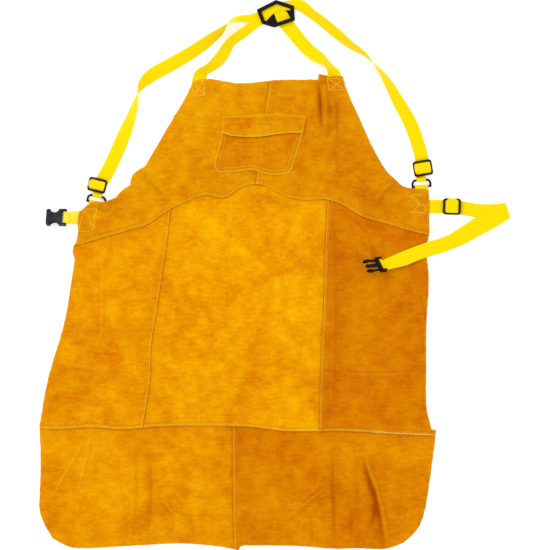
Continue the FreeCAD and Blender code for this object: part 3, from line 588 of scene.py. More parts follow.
# ---- materials ----
class Nodes:
    """A small helper that lays out a material's nodes."""

    def __init__(self, name):
        self.material = bpy.data.materials.new(name)
        self.material.use_nodes = True
        self.tree = self.material.node_tree
        self.shader = self.tree.nodes["Principled BSDF"]

    def add(self, kind, **inputs):
        node = self.tree.nodes.new(kind)
        for key, value in inputs.items():
            self.put(node.inputs[key.replace("_", " ")], value)
        return node

    def put(self, socket, value):
        if isinstance(value, bpy.types.NodeSocket):
            self.tree.links.new(value, socket)
        else:
            socket.default_value = value

    def math(self, operation, *values, clamp=False):
        node = self.tree.nodes.new("ShaderNodeMath")
        node.operation = operation
        node.use_clamp = clamp
        for socket, value in zip(node.inputs, values):
            self.put(socket, value)
        return node.outputs[0]

    def noise(self, where, scale, detail=2.0, rough=0.5):
        node = self.add("ShaderNodeTexNoise", Vector=where, Scale=scale, Detail=detail, Roughness=rough)
        return node.outputs["Fac"]

    def mix(self, fac, a, b):
        node = self.tree.nodes.new("ShaderNodeMix")
        node.data_type = "RGBA"
        self.put(node.inputs["Factor"], fac)
        self.put(node.inputs[6], a)
        self.put(node.inputs[7], b)
        return node.outputs[2]

    def bump(self, height, strength, distance, normal=None):
        node = self.add("ShaderNodeBump", Height=height, Strength=strength, Distance=distance)
        if normal is not None:
            self.put(node.inputs["Normal"], normal)
        return node.outputs["Normal"]

    def attribute(self, name):
        node = self.tree.nodes.new("ShaderNodeAttribute")
        node.attribute_name = name
        return node.outputs["Fac"]

    def where(self):
        return self.tree.nodes.new("ShaderNodeTexCoord").outputs["Object"]

    def ramp(self, source, low, high):
        """0 below low, 1 above high."""
        node = self.add("ShaderNodeMapRange", Value=source, From_Min=low, From_Max=high)
        return node.outputs["Result"]

    def surface(self, **inputs):
        """Sets or links the shader's inputs, and gives back the material."""
        for key, value in inputs.items():
            self.put(self.shader.inputs[key.replace("_", " ")], value)
        return self.material


def rgba(colour, *factors):
    """An opaque colour, with its channels scaled."""
    if len(factors) < 3:
        factors = (factors or (1,)) * 3
    return (*(c * k for c, k in zip(colour, factors)), 1)


# Colour of the leather's pale raw cut edges, also used for its painted highlights.
PALE_EDGE_AND_HIGHLIGHT = (0.95, 0.50, 0.012)


def leather(name, colour):
    """Suede split leather: mottled dye, a short brushed nap, painted shade in furrows, paler raw edges,
    painted highlights.
    """
    m = Nodes(name)
    where = m.where()
    stretched = m.add("ShaderNodeMapping", Vector=where, Scale=(1.0, 3.2, 1.0)).outputs[0]
    cloudy = m.ramp(m.noise(where, 8.0, 5.0, 0.6), 0.36, 0.64)
    patchy = m.ramp(m.noise(where, 38.0, 6.0, 0.66), 0.36, 0.64)
    brushed = m.ramp(m.noise(stretched, 55.0, 6.0, 0.7), 0.36, 0.64)
    grainy = m.ramp(m.noise(where, 240.0, 4.0, 0.75), 0.32, 0.68)
    nap = m.noise(where, 1300.0, 3.0, 0.65)
    total = m.math("MULTIPLY", cloudy, 0.30)
    for source, amount in ((patchy, 0.28), (brushed, 0.22), (grainy, 0.22), (nap, 0.16)):
        total = m.math("ADD", total, m.math("MULTIPLY", source, amount))
    brown, light = rgba(colour, 0.82, 0.60, 1.0), rgba(colour, 1.08, 1.34, 1.0)
    dyed = m.mix(m.ramp(total, 0.28, 0.90), brown, light)
    # The attribute dark mixes in painted shade.
    shaded = m.mix(m.attribute("dark"), dyed, rgba(colour, 0.46, 0.22, 0.5))
    # The attribute pale mixes in the raw-edge colour and painted highlights.
    pale = m.math("MULTIPLY", m.attribute("pale"), m.ramp(nap, 0.25, 0.6), clamp=True)
    coarse = m.bump(patchy, 0.5, 0.0012)
    fine = m.bump(grainy, 0.5, 0.0007, coarse)
    return m.surface(Base_Color=m.mix(pale, shaded, rgba(PALE_EDGE_AND_HIGHLIGHT)), Roughness=0.9,
                     Specular_IOR_Level=0.12, Specular_Tint=(1.0, 0.55, 0.02, 1), Sheen_Weight=0.08,
                     Sheen_Roughness=0.5, Sheen_Tint=(1.0, 0.55, 0.02, 1),
                     Normal=m.bump(nap, 0.5, 0.0004, fine))


RIB = 1.9                # from one chevron rib to the next
COLUMN = 1.55            # width of one leg of the chevrons
SELVAGE = 11.2           # from the middle of the webbing to its plain edge


def webbing_material(name, colour, deep):
    """Woven webbing: chevron ribs across its width and a plain selvage, laid out on its own map."""
    m = Nodes(name)
    uv = m.tree.nodes.new("ShaderNodeUVMap")
    uv.uv_map = "weave"
    split = m.add("ShaderNodeSeparateXYZ", Vector=uv.outputs["UV"])
    across, along = split.outputs[0], split.outputs[1]
    columns = m.math("PINGPONG", across, COLUMN)
    ribs = m.math("SINE", m.math("MULTIPLY", m.math("ADD", along, columns), 2 * math.pi / RIB))
    between = m.math("ABSOLUTE", m.math("SINE", m.math("MULTIPLY", across, math.pi / COLUMN)))
    furrow = m.math("POWER", between, 0.35)
    thread = m.noise(m.where(), 1400.0, 2.0)
    woven = m.math("MULTIPLY", m.math("MULTIPLY_ADD", ribs, 0.5, 0.5), furrow)
    selvage = m.math("GREATER_THAN", m.math("ABSOLUTE", across), SELVAGE)
    height = m.mix(selvage, woven, (0.75, 0.75, 0.75, 1))
    # The weave's grooves get the deep colour: painted shade.
    tone = m.math("MULTIPLY_ADD", woven, 0.35, 0.50, clamp=True)
    tone = m.math("ADD", tone, m.math("MULTIPLY", thread, 0.3), clamp=True)
    soil = m.noise(m.where(), 45.0, 3.0)
    shade = m.mix(tone, rgba(deep), rgba(colour))
    shade = m.mix(m.math("MULTIPLY", soil, 0.25), shade, rgba(colour, 0.82))
    return m.surface(Base_Color=shade, Roughness=0.62, Specular_IOR_Level=0.25,
                     Specular_Tint=(1.0, 0.80, 0.03, 1),
                     Normal=m.bump(thread, 0.3, 0.0002, m.bump(height, 0.6, 0.0004)))


def plastic(name, colour, rough):
    """Moulded plastic or coated wire with a slightly scuffed gloss."""
    m = Nodes(name)
    where = m.where()
    fine = m.noise(where, 900.0, 3.0, 0.6)
    scuff = m.noise(where, 120.0, 4.0, 0.65)
    return m.surface(Base_Color=m.mix(m.math("MULTIPLY", scuff, 0.5), rgba(colour), rgba(colour, 1.7)),
                     Roughness=m.math("MULTIPLY_ADD", scuff, 0.16, rough - 0.08),
                     Specular_IOR_Level=0.13, Normal=m.bump(fine, 0.12, 0.0002))


def thread_material(name, colour):
    """Sewing thread, or the leather's loose fibres."""
    m = Nodes(name)
    twist = m.noise(m.where(), 2600.0, 2.0)
    return m.surface(Base_Color=m.mix(twist, rgba(colour, 0.72), rgba(colour)), Roughness=0.65,
                     Specular_IOR_Level=0.15, Specular_Tint=(1.0, 0.7, 0.1, 1),
                     Normal=m.bump(twist, 0.5, 0.0002))


def tape(name, colour, scale):
    """Hook or loop tape: a dense mat of short ends."""
    m = Nodes(name)
    mat = m.noise(m.where(), scale, 4.0, 0.75)
    return m.surface(Base_Color=m.mix(mat, rgba(colour), rgba(colour, 3)), Roughness=0.9,
                     Normal=m.bump(mat, 0.9, 0.0008))


LEATHERS = {name: leather(name, colour) for name, colour in {
    "leather_bib": (0.652, 0.222, 0.0006),
    "leather_bib_light": (0.690, 0.262, 0.0006),
    "leather_skirt_left": (0.735, 0.262, 0.0004),
    "leather_skirt_centre": (0.775, 0.302, 0.0004),
    "leather_skirt_right": (0.615, 0.172, 0.0004),
    "leather_hem_right": (0.650, 0.196, 0.0004),
    "leather_pocket": (0.655, 0.214, 0.0006),
}.items()}
WEBBING = webbing_material("webbing", (0.95, 0.71, 0.0015), (0.74, 0.47, 0.0005))
PALE_WEBBING = webbing_material("webbing_pale", (0.97, 0.78, 0.05), (0.86, 0.60, 0.015))
BLACK = plastic("black_plastic", (0.0055, 0.0038, 0.0042), 0.36)
RING_BLACK = plastic("black_ring", (0.0060, 0.0045, 0.0045), 0.32)
THREAD = thread_material("thread", (0.95, 0.66, 0.05))
PALE_FIBRE = thread_material("pale_fibre", (0.97, 0.78, 0.30))
LOOP_TAPE = tape("loop_tape", (0.012, 0.011, 0.010), 900.0)
HOOK_TAPE = tape("hook_tape", (0.010, 0.009, 0.009), 1400.0)


def finish_with(obj, material):
    """Gives a piece its material."""
    obj.data.materials.clear()
    obj.data.materials.append(material)
    return obj


# ---- leather panels ----
PANEL_FINISH = {"skirt_centre": "leather_skirt_centre", "skirt_left": "leather_skirt_left",
                "skirt_right": "leather_skirt_right", "hem_band_left": "leather_skirt_left",
                "hem_band_right": "leather_hem_right", "bib_left": "leather_bib_light",
                "bib_right": "leather_bib"}
for panel, polygon in PANELS.items():
    obj, flat, gap = hide(f"leather_{panel}", polygon, lambda x, y: base(panel, x, y), 0.35)
    x, y = flat[:, 0], flat[:, 1]
    colour_leather(obj, gap, shadow(panel, x, y), bright(panel, x, y))
    look = PANEL_FINISH[panel]
    finish_with(obj, LEATHERS[look])
    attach(obj, "apron")
    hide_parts(panel)

# ---- chest pocket ----
POCKET = outline([(-99, 285), (-101, 250), (-112, 204)],
                 [(-112, 200), (-107, 191), (-98, 189)],
                 [(-94, 190), (-68, 191), (-37, 193), (-23, 188), (2, 185)],
                 [(18, 186), (28, 190), (33, 202)],
                 [(34, 206), (50, 260)],
                 [(53, 285)])
FLAP = outline([(-98, 293), (-97, 288), (-98.5, 275)],
               [(-99, 263), (-86, 259), (-46, 255), (-23, 256), (9, 261)],
               [(51, 263), (54, 275), (56, 288)],
               [(57, 294), (-4, 298), (-68, 295)])
HINGE_Y = 288.0
pocket_edge = np.vstack([POCKET, POCKET[:1]])


def bib_top(x, y):
    """Height of the bib's outer face."""
    x, y = np.atleast_1d(np.asarray(x, float)), np.atleast_1d(np.asarray(y, float))
    return np.where(BIB.off(x, y) > 0, base("bib_right", x, y), base("bib_left", x, y)) + LEATHER


def smooth_bib_top(x, y):
    """The bib's outer face as the pocket bridges it, without the centre seam's small steps."""
    return lie(x, y) + LEATHER + LEATHER * lap(BIB.off(x, y)) + 1.2 * np.exp(-(BIB.off(x, y) / 14) ** 2)


def pocket_low(x, y):
    """Height of the pocket's underside: slack in the middle, drawn down along its stitching."""
    gap, _, _ = distance_to(np.stack([x, y], axis=1), pocket_edge)
    slack = 2.6 * step(gap / 38) + 0.36 * np.exp(-((gap - 6.0) / 2.0) ** 2)
    furrow = -0.35 * np.exp(-((gap - 3.0) / 1.0) ** 2) - 0.35 * np.exp(-((gap - 9.5) / 1.0) ** 2)
    return smooth_bib_top(x, y) + 0.3 + slack + furrow


def flap_low(x, y):
    """Height of the flap's underside, which lies on the pocket and is sewn to the bib above it."""
    on_pocket = pocket_low(x, y) + LEATHER + 0.7 + 1.2 * step((278 - y) / 20)
    sewn = smooth_bib_top(x, y) + 0.4
    return sewn + (on_pocket - sewn) * step((293 - y) / 9)


def inset(polygon, distance):
    """A line inside a polygon's edge."""
    along = np.gradient(polygon, axis=0)
    along /= np.linalg.norm(along, axis=1)[:, None]
    inward = np.stack([-along[:, 1], along[:, 0]], axis=1)
    if np.sum((polygon.mean(axis=0) - polygon) * inward) < 0:
        inward = -inward
    return polygon + inward * distance


obj, flat, gap = hide("pocket_leather", POCKET, pocket_low, 0.3, spacing=3.0)
flap_line = np.vstack([FLAP, FLAP[:1]])
# A painted shadow on the pocket just below the flap's edge.
below_flap = distance_to(flat, flap_line)[0] * np.where(inside(flat, FLAP), 0, 1)
dark = 0.55 * np.exp(-below_flap / 2.5) * (flat[:, 1] < 266)
# Painted shade along the pocket's two rows of stitching.
dark += 0.30 * np.exp(-((gap - 3.0) / 1.3) ** 2) + 0.22 * np.exp(-((gap - 9.5) / 1.3) ** 2)
# A painted highlight along the pocket's edge.
colour_leather(obj, gap, np.clip(dark, 0, DARKEST), 0.55 * np.exp(-(gap / 1.8) ** 2))
finish_with(obj, LEATHERS["leather_pocket"])
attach(obj, "apron")
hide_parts("chest_pocket")

flap_piece, flat, gap = hide("pocket_flap_leather", FLAP, flap_low, 0.35, spacing=2.6)
x, y = flat[:, 0], flat[:, 1]
# The flap's lower edge is paler: its raw edge and a painted highlight.
pale = np.where(y < 268, 0.8 * np.exp(-(gap / 2.0) ** 2), 0.0)
# Painted shade along the hinge's fold and along the upper row of stitching.
dark = 0.25 * np.exp(-((y - HINGE_Y) / 2.0) ** 2)
dark += 0.3 * np.exp(-((gap - 4.0) / 1.3) ** 2) * (y > 289)
# Painted shade along the stitched square; inside it the flap is paler.
from_square = np.maximum(np.abs(x + 21.5) - 14.5, np.abs(y - 270) - 7)
dark += 0.30 * np.exp(-(from_square / 1.3) ** 2)
pale += 0.16 * step(-from_square / 2)
colour_leather(flap_piece, gap, np.clip(dark, 0, DARKEST), pale, raw=0.9)
finish_with(flap_piece, LEATHERS["leather_bib_light"])
for node, tape_finish in (("pocket_loop_patch", LOOP_TAPE), ("flap_hook_patch", HOOK_TAPE)):
    finish_with(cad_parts[node], tape_finish)


# ---- stitching ----
# A stitch: share of its length, share of its radius and rise over the leather.
STITCH = ((0.0, 0.25, -0.35), (0.14, 0.85, -0.02), (0.5, 1.0, 0.16), (0.86, 0.85, -0.02),
          (1.0, 0.25, -0.35))
STITCH_SIDES = 6


def stitches(name, runs, height, pitch=4.3, length=3.3, radius=0.42, material=THREAD, body="apron"):
    """Single stitches along plan lines, each dipping into the leather at its ends."""
    places, faces = [], []
    sides = STITCH_SIDES
    for run in runs:
        seg = np.linalg.norm(np.diff(run, axis=0), axis=1)
        s = np.concatenate([[0], np.cumsum(seg)])
        starts = np.arange(0.4, s[-1] - length, pitch)
        if not len(starts):
            continue
        at = (starts[:, None] + length * np.array([share for share, _, _ in STITCH])).ravel()
        x, y = np.interp(at, s, run[:, 0]), np.interp(at, s, run[:, 1])
        z = height(x, y)
        x, y, z = (v.reshape(len(starts), -1) for v in (x, y, z))
        for i in range(len(starts)):
            d = np.array([x[i, -1] - x[i, 0], y[i, -1] - y[i, 0]])
            d /= np.linalg.norm(d) + 1e-9
            start = len(places)
            for j, (_, fat, rise) in enumerate(STITCH):
                for q in range(sides):
                    a = 2 * math.pi * q / sides
                    side, up = math.cos(a) * radius * fat, math.sin(a) * radius * fat
                    places.append((x[i, j] - d[1] * side, y[i, j] + d[0] * side, z[i, j] + rise + up))
            for j in range(len(STITCH) - 1):
                for q in range(sides):
                    a, b = start + j * sides + q, start + j * sides + (q + 1) % sides
                    faces.append((a, b, b + sides, a + sides))
            faces.append(tuple(start + q for q in range(sides))[::-1])
            faces.append(tuple(start + (len(STITCH) - 1) * sides + q for q in range(sides)))
    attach(finish_with(make(name, places, faces), material), body)


def top_of(panel):
    """A function for the height of a panel's outer face."""
    return lambda x, y: base(panel, x, y) + LEATHER


def path(*points):
    """A polyline in plan, with points a little apart."""
    out = []
    for a, b in zip(points, points[1:]):
        a, b = np.array(a, float), np.array(b, float)
        n = max(2, int(np.linalg.norm(b - a) / 1.5))
        out += [a + (b - a) * i / n for i in range(n)]
    return np.array(out + [np.array(points[-1], float)])


def cross_box(a, b, c, d):
    """A stitched box with a cross in it."""
    return [path(a, b, c, d, a), path(a, c), path(b, d)]


seam_rows = {
    "skirt_left": [HEM_TOP.line(-432, -243, FURROW), LEFT.line(-275, 112, -FURROW)],
    "skirt_centre": [HEM_TOP.line(-241, 82, FURROW)],
    "skirt_right": [HEM_TOP.line(86, 287, FURROW), RIGHT.line(-282, 130, FURROW)],
    "hem_band_right": [HEM_CENTRE.line(-498, -284, FURROW)],
}
for panel, rows in seam_rows.items():
    stitches(f"stitching_{panel}", rows, top_of(panel))

bib_rows = [YOKE.line(-368, 283, FURROW), BIB.line(300, 352, FURROW), BIB.line(166, 184, FURROW)]
stitches("stitching_bib", bib_rows, bib_top)
boxes = [path((-353, 122), (-329, 122), (-337, 82), (-364, 80), (-353, 122)),
         path((-351.5, 121), (-344, 108), (-341, 92.5)), path((-329, 121), (-341, 92)),
         path((278, 147), (252, 149), (269, 132), (252, 115), (279, 113), (277, 129)),
         path((277, 131.5), (267, 129), (251, 146)), path((255, 117.4), (277, 115.4))]
boxes += cross_box((-154, 355), (-133, 360), (-129, 333), (-150, 330))
boxes += cross_box((96, 364), (126, 362), (130, 342), (100, 342))
stitches("stitching_boxes", boxes, bib_top, pitch=3.4, length=3.0, radius=0.62)


def ladder(start, end):
    """Short overcast stitches across the hem seam's upper layer."""
    return [np.array([(x, y + 0.6), (x + 0.5, y + 4.2)]) for x, y in HEM_TOP.line(start, end, 0.0, 3.6)]


for panel, start, end in (("skirt_left", -430, -248), ("skirt_centre", -238, 80), ("skirt_right", 92, 200)):
    stitches(f"overcast_{panel}", ladder(start, end), top_of(panel), pitch=9.0, length=3.0, radius=0.5)

frayed = []
for i, (x, y) in enumerate(HEM_TOP.line(178, 295, 0.2, 1.5)):
    lean = 0.45 * math.sin(7.3 * i) + 0.3 * math.sin(2.1 * i)
    frayed.append(np.array([(x, y), (x + 3.4, y + 3.4 * lean)]))
stitches("frayed_hem_edge", frayed, top_of("skirt_right"), pitch=9.0, length=2.9, radius=0.34,
         material=PALE_FIBRE)

pocket_rows = [inset(POCKET, distance) for distance in (2.6, 8.4)]
below_mouth = [row[row[:, 1] < 284] for row in pocket_rows]
stitches("stitching_pocket", below_mouth, lambda x, y: pocket_low(x, y) + LEATHER)
flap_row = path((-95, 291.5), (-68, 292.0), (-4, 294.3), (55, 291.0))
stitches("stitching_flap_edge", [flap_row], lambda x, y: flap_low(x, y) + LEATHER)
# The square is sunk a little, to clear the bib when the flap is folded right back.
square = path((-36, 275.5), (-7, 275.5), (-7, 263), (-36, 263), (-36, 275.5))
stitches("stitching_flap_square", [square], lambda x, y: flap_low(x, y) + LEATHER - 0.12, radius=0.34,
         body="flap")

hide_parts("pocket_flap", "flap_sewn_edge")
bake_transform(flap_piece)


# ---- webbing ----
BAND_COLUMNS = 11        # places across the webbing's width, for its faces


def band(name, pairs, thickness=WEB_T, material=WEBBING):
    """Webbing through pairs of edge points, with rounded edges, and a map in millimetres.
    Returns the object and its length."""
    pairs = np.asarray(pairs, float)
    left, right = pairs[:, 0], pairs[:, 1]
    middle = (left + right) / 2
    ahead = np.gradient(middle, axis=0)
    side = right - left
    width = np.linalg.norm(side, axis=1)
    normal = np.cross(side, ahead)
    normal /= np.linalg.norm(normal, axis=1)[:, None] + 1e-12
    along = np.concatenate([[0], np.cumsum(np.linalg.norm(np.diff(middle, axis=0), axis=1))])
    t = np.linspace(-1, 1, BAND_COLUMNS)
    ring = [(u, 0.5) for u in t] + [(1.03, 0.0)] + [(u, -0.5) for u in t[::-1]] + [(-1.03, 0.0)]
    ring = [(u * 0.985, h * (0.72 if abs(u) == 1 else 1.0)) for u, h in ring]
    points = []
    for i in range(len(pairs)):
        for u, h in ring:
            points.append(middle[i] + side[i] / 2 * u + normal[i] * h * thickness)
    k = len(ring)
    faces = []
    for i in range(len(pairs) - 1):
        for j in range(k):
            a, b = i * k + j, i * k + (j + 1) % k
            faces.append((a, b, b + k, a + k))
    faces.append(tuple(range(k))[::-1])
    faces.append(tuple((len(pairs) - 1) * k + j for j in range(k)))
    obj = make(name, points, faces)
    weave = obj.data.uv_layers.new(name="weave")
    across = np.array([u for u, _ in ring])
    index = np.zeros(len(obj.data.loops), np.int32)
    obj.data.loops.foreach_get("vertex_index", index)
    row, column = index // k, index % k
    uv = np.stack([across[column] * width[row] / 2, along[row]], axis=1)
    weave.data.foreach_set("uv", uv.astype(np.float32).ravel())
    finish_with(obj, material)
    return obj, float(along[-1])


def eased(t, values, s, window=7):
    """Values between stations without any overshoot, evened out over a short stretch."""
    line = np.interp(s, t, values)
    padded = np.pad(line, window, mode="edge")
    weights = np.hanning(2 * window + 3)[1:-1]
    return np.convolve(padded, weights / weights.sum(), mode="valid")


def strap_pairs(stations, spacing=2.0):
    """Dense pairs from stations (x, y, height of the lower edge, roll in degrees, width)."""
    rows = np.array([tuple(r) + ((WEB,) if len(r) == 4 else ()) for r in stations], float)
    plan = spline(rows[:, :2], spacing)
    t = np.concatenate([[0], np.cumsum(np.linalg.norm(np.diff(rows[:, :2], axis=0), axis=1))])
    s = np.linspace(0, t[-1], len(plan))
    low, roll, width = (eased(t, rows[:, i], s) for i in (2, 3, 4))
    run = np.gradient(plan, axis=0)
    run /= np.linalg.norm(run, axis=1)[:, None]
    roll = np.radians(roll)
    across = np.stack([-run[:, 1] * np.cos(roll), run[:, 0] * np.cos(roll), np.sin(roll)], axis=1)
    rise = low + np.abs(np.cos(roll)) * WEB_MID + np.abs(np.sin(roll)) * width / 2
    centre = np.column_stack([plan, rise])
    half = across * (width / 2)[:, None]
    return np.stack([centre + half, centre - half], axis=1)


def turn_round_bar(inner_leg, outer_leg):
    """Middle line (back, height) of webbing that comes in below a bar, turns round it and leaves
    on top of itself. back is the distance behind the bar."""
    r = LOOP_MID
    angles = np.linspace(-math.pi / 2, math.pi / 2 + 0.75, 22)
    arc = [(-r * math.cos(a), r * math.sin(a)) for a in angles]
    come = [(b, -r) for b in np.linspace(inner_leg, 1.0, 8)]
    last = arc[-1]
    leave = [(last[0] + (5.6 - last[0]) * k, last[1] + (LAID_BACK - last[1]) * step(k))
             for k in (0.33, 0.66, 1.0)]
    leave += [(b, LAID_BACK) for b in np.linspace(7.5, outer_leg, 5)]
    return np.array(come + arc + leave)


def resample(pairs, spacing=1.2):
    """Pairs at an even spacing along the webbing."""
    pairs = np.asarray(pairs, float)
    middle = pairs.mean(axis=1)
    s = np.concatenate([[0], np.cumsum(np.linalg.norm(np.diff(middle, axis=0), axis=1))])
    t = np.linspace(0, s[-1], int(s[-1] / spacing) + 1)
    flat = pairs.reshape(len(pairs), 6)
    return np.stack([np.interp(t, s, flat[:, i]) for i in range(6)], axis=1).reshape(-1, 2, 3)


def soften(pairs, times):
    """Evens out the joins between stretches."""
    pairs = pairs.copy()
    for _ in range(times):
        pairs[1:-1] += 0.5 * (0.5 * (pairs[:-2] + pairs[2:]) - pairs[1:-1])
    return pairs


# Stations of each shoulder strap, from the bib's corner to its ring.
STRAP_A = [(113, 341, 0.3, 0), (111, 356, 0.3, 0), (109, 371, 0.3, 0), (104, 380, 0, 56),
           (95, 391, 0, 60), (82, 401, 0, 24), (62, 416, 0, 8), (43, 437, 1.0, 4), (28, 455, 2.4, 0),
           (17, 470, 2.4, 0, 25), (10.5, 482, 2.4, 0, 24), (1, 490, 2.4, 0, 15), (-14, 487, 2.4, 0, 13),
           (-34, 478.5, 2.4, 0, 13), (-50, 474.5, 1.6, 0, 13), (-62, 474, 0.4, 20, 14), (-74, 472, 0, 55, 17),
           (-86, 465, 0, 84, 22), (-98, 452, 0, 112),
           (-114, 439, 0, 132), (-132, 426, 0, 146), (-161, 407, 0, 154), (-200, 385, 0, 172),
           (-229, 368, 0, 160), (-246, 350, 0, 122), (-254, 332, 0, 80), (-260, 310, 0, 55),
           (-268, 286, 0, 38), (-276.5, 265, 0, 20), (-287, 240, 0, 6), (-299, 213, 0, 0),
           (-311, 189, 0, 0), (-322, 170, 0, 0)]
STRAP_B = [(-144, 331, 0.3, 0), (-142, 348, 0.3, 0), (-139, 366, 0.3, 0), (-133, 374, 0, 50),
           (-123, 381, 0, 53), (-108, 393, 0, 33), (-95, 409, 0, 27), (-82, 429, 0, 48),
           (-70, 439, 0, 52), (-55, 450, 2.0, 24, 19), (-40, 461.5, 4.0, 0, 17), (-22, 475.5, 4.0, 0, 17),
           (-10, 487.6, 4.0, 0, 15.6), (4, 495.4, 4.0, 0, 15.6), (27, 498.5, 4.0, 0, 18),
           (44, 500, 2.6, 0, 19), (54, 494, 0.5, 25, 22), (64, 485, 0, 52), (84, 470, 0, 48),
           (106, 452, 0, 46), (124, 437, 0, 50), (143, 422, 0, 64), (166, 407, 0, 78), (180, 392, 0, 94),
           (194, 376, 0, 114), (208, 356, 0, 132), (230, 317, 0, 158), (248.5, 284, 0, 172),
           (257, 264, 0, 180), (265, 240, 0, 180), (271, 215, 0, 180), (271.5, 197, 0, 180)]
# Place and turn of each ring's bar, and how far its bow is from it.
LEFT_RING = (-331, 134, -12)
RIGHT_RING = (271, 163.5, 4)
RING_DEPTH = 12.0
# Each tri-glide's place and turn, its size, and how far its webbing bulges over either side rail.
GLIDES = {"left": ((-328.5, 166, -13.6), (34, 26), (2.6, 0.4)),
          "right": ((273.2, 197.5, 9.6), (35, 29), (1.6, 0.4)),
          "waist": ((327, 126.5, 88), (30, 33), (0.3, 4.0))}
GLIDE_Z = 3.0


def turned(angle):
    """Directions across and along a thing that is turned in plan."""
    a = math.radians(angle)
    return np.array([math.cos(a), math.sin(a), 0]), np.array([-math.sin(a), math.cos(a), 0])


def wrapped(line, bar, back, across, up, width, flip=False):
    """Pairs of webbing along a middle line (back, height) from a bar's place."""
    side = across * (-width if flip else width) / 2
    centres = [bar + back * distance + up * height for distance, height in line]
    return np.array([(centre + side, centre - side) for centre in centres])


UP = np.array([0.0, 0.0, 1.0])
LOOP_WIDTH = 17.0        # the webbing gathers where it turns round the ring
TAB_WIDTH = 24.0


def shoulder_strap(name, stations, ring, flip, node):
    """A strap from the bib's corner, round its ring's bow."""
    x, y, angle = ring
    across, along = turned(angle)
    bow = np.array([x, y, RING_Z]) + along * RING_DEPTH
    loop = wrapped(turn_round_bar(11.0, 13.0), bow, along, across, UP, LOOP_WIDTH, flip)
    obj, length = band(name, soften(resample(np.concatenate([strap_pairs(stations), loop])), 5))
    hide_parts(node, node + "_end")
    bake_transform(obj)


shoulder_strap("shoulder_strap_a_webbing", STRAP_A, LEFT_RING, True, "shoulder_strap_a")
shoulder_strap("shoulder_strap_b_webbing", STRAP_B, RIGHT_RING, False, "shoulder_strap_b")


def hip_tab(name, ring, leg, node):
    """Webbing sewn under the leather, with both layers, that holds a ring by its bar."""
    x, y, angle = ring
    across, along = turned(angle)
    pairs = wrapped(turn_round_bar(leg, leg), np.array([x, y, RING_Z]), -along, across, UP, TAB_WIDTH)
    obj, length = band(name, soften(resample(pairs), 2))
    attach(obj, "apron")
    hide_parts(node)


hip_tab("hip_tab_left_webbing", LEFT_RING, 48.0, "hip_tab_left")
hip_tab("hip_tab_right_webbing", RIGHT_RING, 22.0, "hip_tab_right")

GLIDE_RAIL = 3.7         # from a tri-glide's outer side to its window
GLIDE_END = 3.9          # from its end to where the webbing comes up
GLIDE_ARCH = 5.0         # how high the webbing rises over the bar


def glide_webbing(side):
    """The turn of webbing over a tri-glide's bar, which shows in its window."""
    (x, y, angle), (wide, long), bulge = GLIDES[side]
    across, along = turned(angle)
    reach, half = long / 2 - GLIDE_END, wide / 2 - GLIDE_RAIL
    pairs = []
    for t in np.linspace(-1, 1, 31):
        height = GLIDE_Z + 0.2 + GLIDE_ARCH * (1 - abs(t) ** 6) - 0.8 * t * t
        centre = np.array([x, y, height]) + along * (t * reach)
        over = math.sqrt(max(0.0, 1 - (t / 0.74) ** 2))
        pairs.append((centre - across * (half + bulge[0] * over), centre + across * (half + bulge[1] * over)))
    obj, length = band(f"tri_glide_{side}_webbing", pairs, 1.2)
    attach(obj, f"glide_{side}")
    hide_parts(f"tri_glide_webbing_{side}")


for side in GLIDES:
    glide_webbing(side)

# ---- waist strap and buckle ----
# Each buckle half's bar: its middle, and the half's directions forward, along the bar and up.
SOCKET_AT = np.array([-388, 106, 13.6])
SOCKET_AXES = np.array([(-0.9954, 0.0, -0.0954), (-0.0328, -0.9391, 0.342), (-0.0896, 0.3436, 0.9348)])
PLUG_AT = np.array([197.5, 19.5, 14.5])
PLUG_AXES = np.array([(-0.8897, -0.1092, 0.4433), (0.3584, -0.7686, 0.5299), (0.2828, 0.6303, 0.723)])
BAR_MID = 2.5            # from a buckle bar's middle to the middle of the webbing round it
BAR_WIDTH = 23.0         # width that the bar takes the webbing in to


def bar_turn(axes, at, leg):
    """Pairs of webbing round a buckle half's bar, coming in below and leaving above."""
    forward, bar, up = axes
    line = turn_round_bar(7.0, leg) * (BAR_MID / LOOP_MID)
    return wrapped(line, at, -forward, bar, up, BAR_WIDTH, True)


# Pairs of edge points.
WAIST_STUB = [((-352, 118.5, 0.95), (-352, 93.5, 0.95)), ((-363, 118.5, 1.0), (-363, 93.5, 1.0)),
              ((-372, 118.0, 4.0), (-372, 93.8, 8.0))]
stub = np.concatenate([np.array(WAIST_STUB, float), bar_turn(SOCKET_AXES, SOCKET_AT, 9.0)])
obj, length = band("waist_stub_webbing", soften(resample(stub), 5), material=PALE_WEBBING)
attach(obj, "apron")
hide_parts("waist_stub")

# The waist strap: stations up to its fold, the fold's two ends, and pairs of edge points beyond it.
WAIST_INNER = [(262, 126.5, 0, 0), (287, 126.5, 0, 0), (310, 126.5, 0, 0), (345, 124, 0, 0),
               (372, 119.5, 0, 0), (400, 118.5, 0, 0), (424, 120.5, 0, 0)]
FOLD_TOP = np.array([426.0, 133.4])
FOLD_LOW = np.array([435.0, 105.4])
FOLD_WAY = np.array([0.95, 0.31])        # direction in which the fold stands out
FOLD_RADIUS = 0.85
FOLD_Z = 1.5                             # height of the fold's middle
WAIST_TAIL = [((425.6, 133.6, 2.4), (434.8, 105.4, 2.4)),
              ((398, 119.5, 2.5), (410.5, 90, 2.5)),
              ((372, 106.5, 2.5), (386.5, 77, 2.5)),
              ((346, 90, 2.5), (357.5, 61, 2.5)),
              ((320, 74, 3.5), (331, 49, 3.0)),
              ((289, 63, 6.5), (298, 38, 6.0)),
              ((260, 53, 7.5), (269, 29, 7.5)),
              ((232, 42, 6.0), (243, 18, 11.5))]


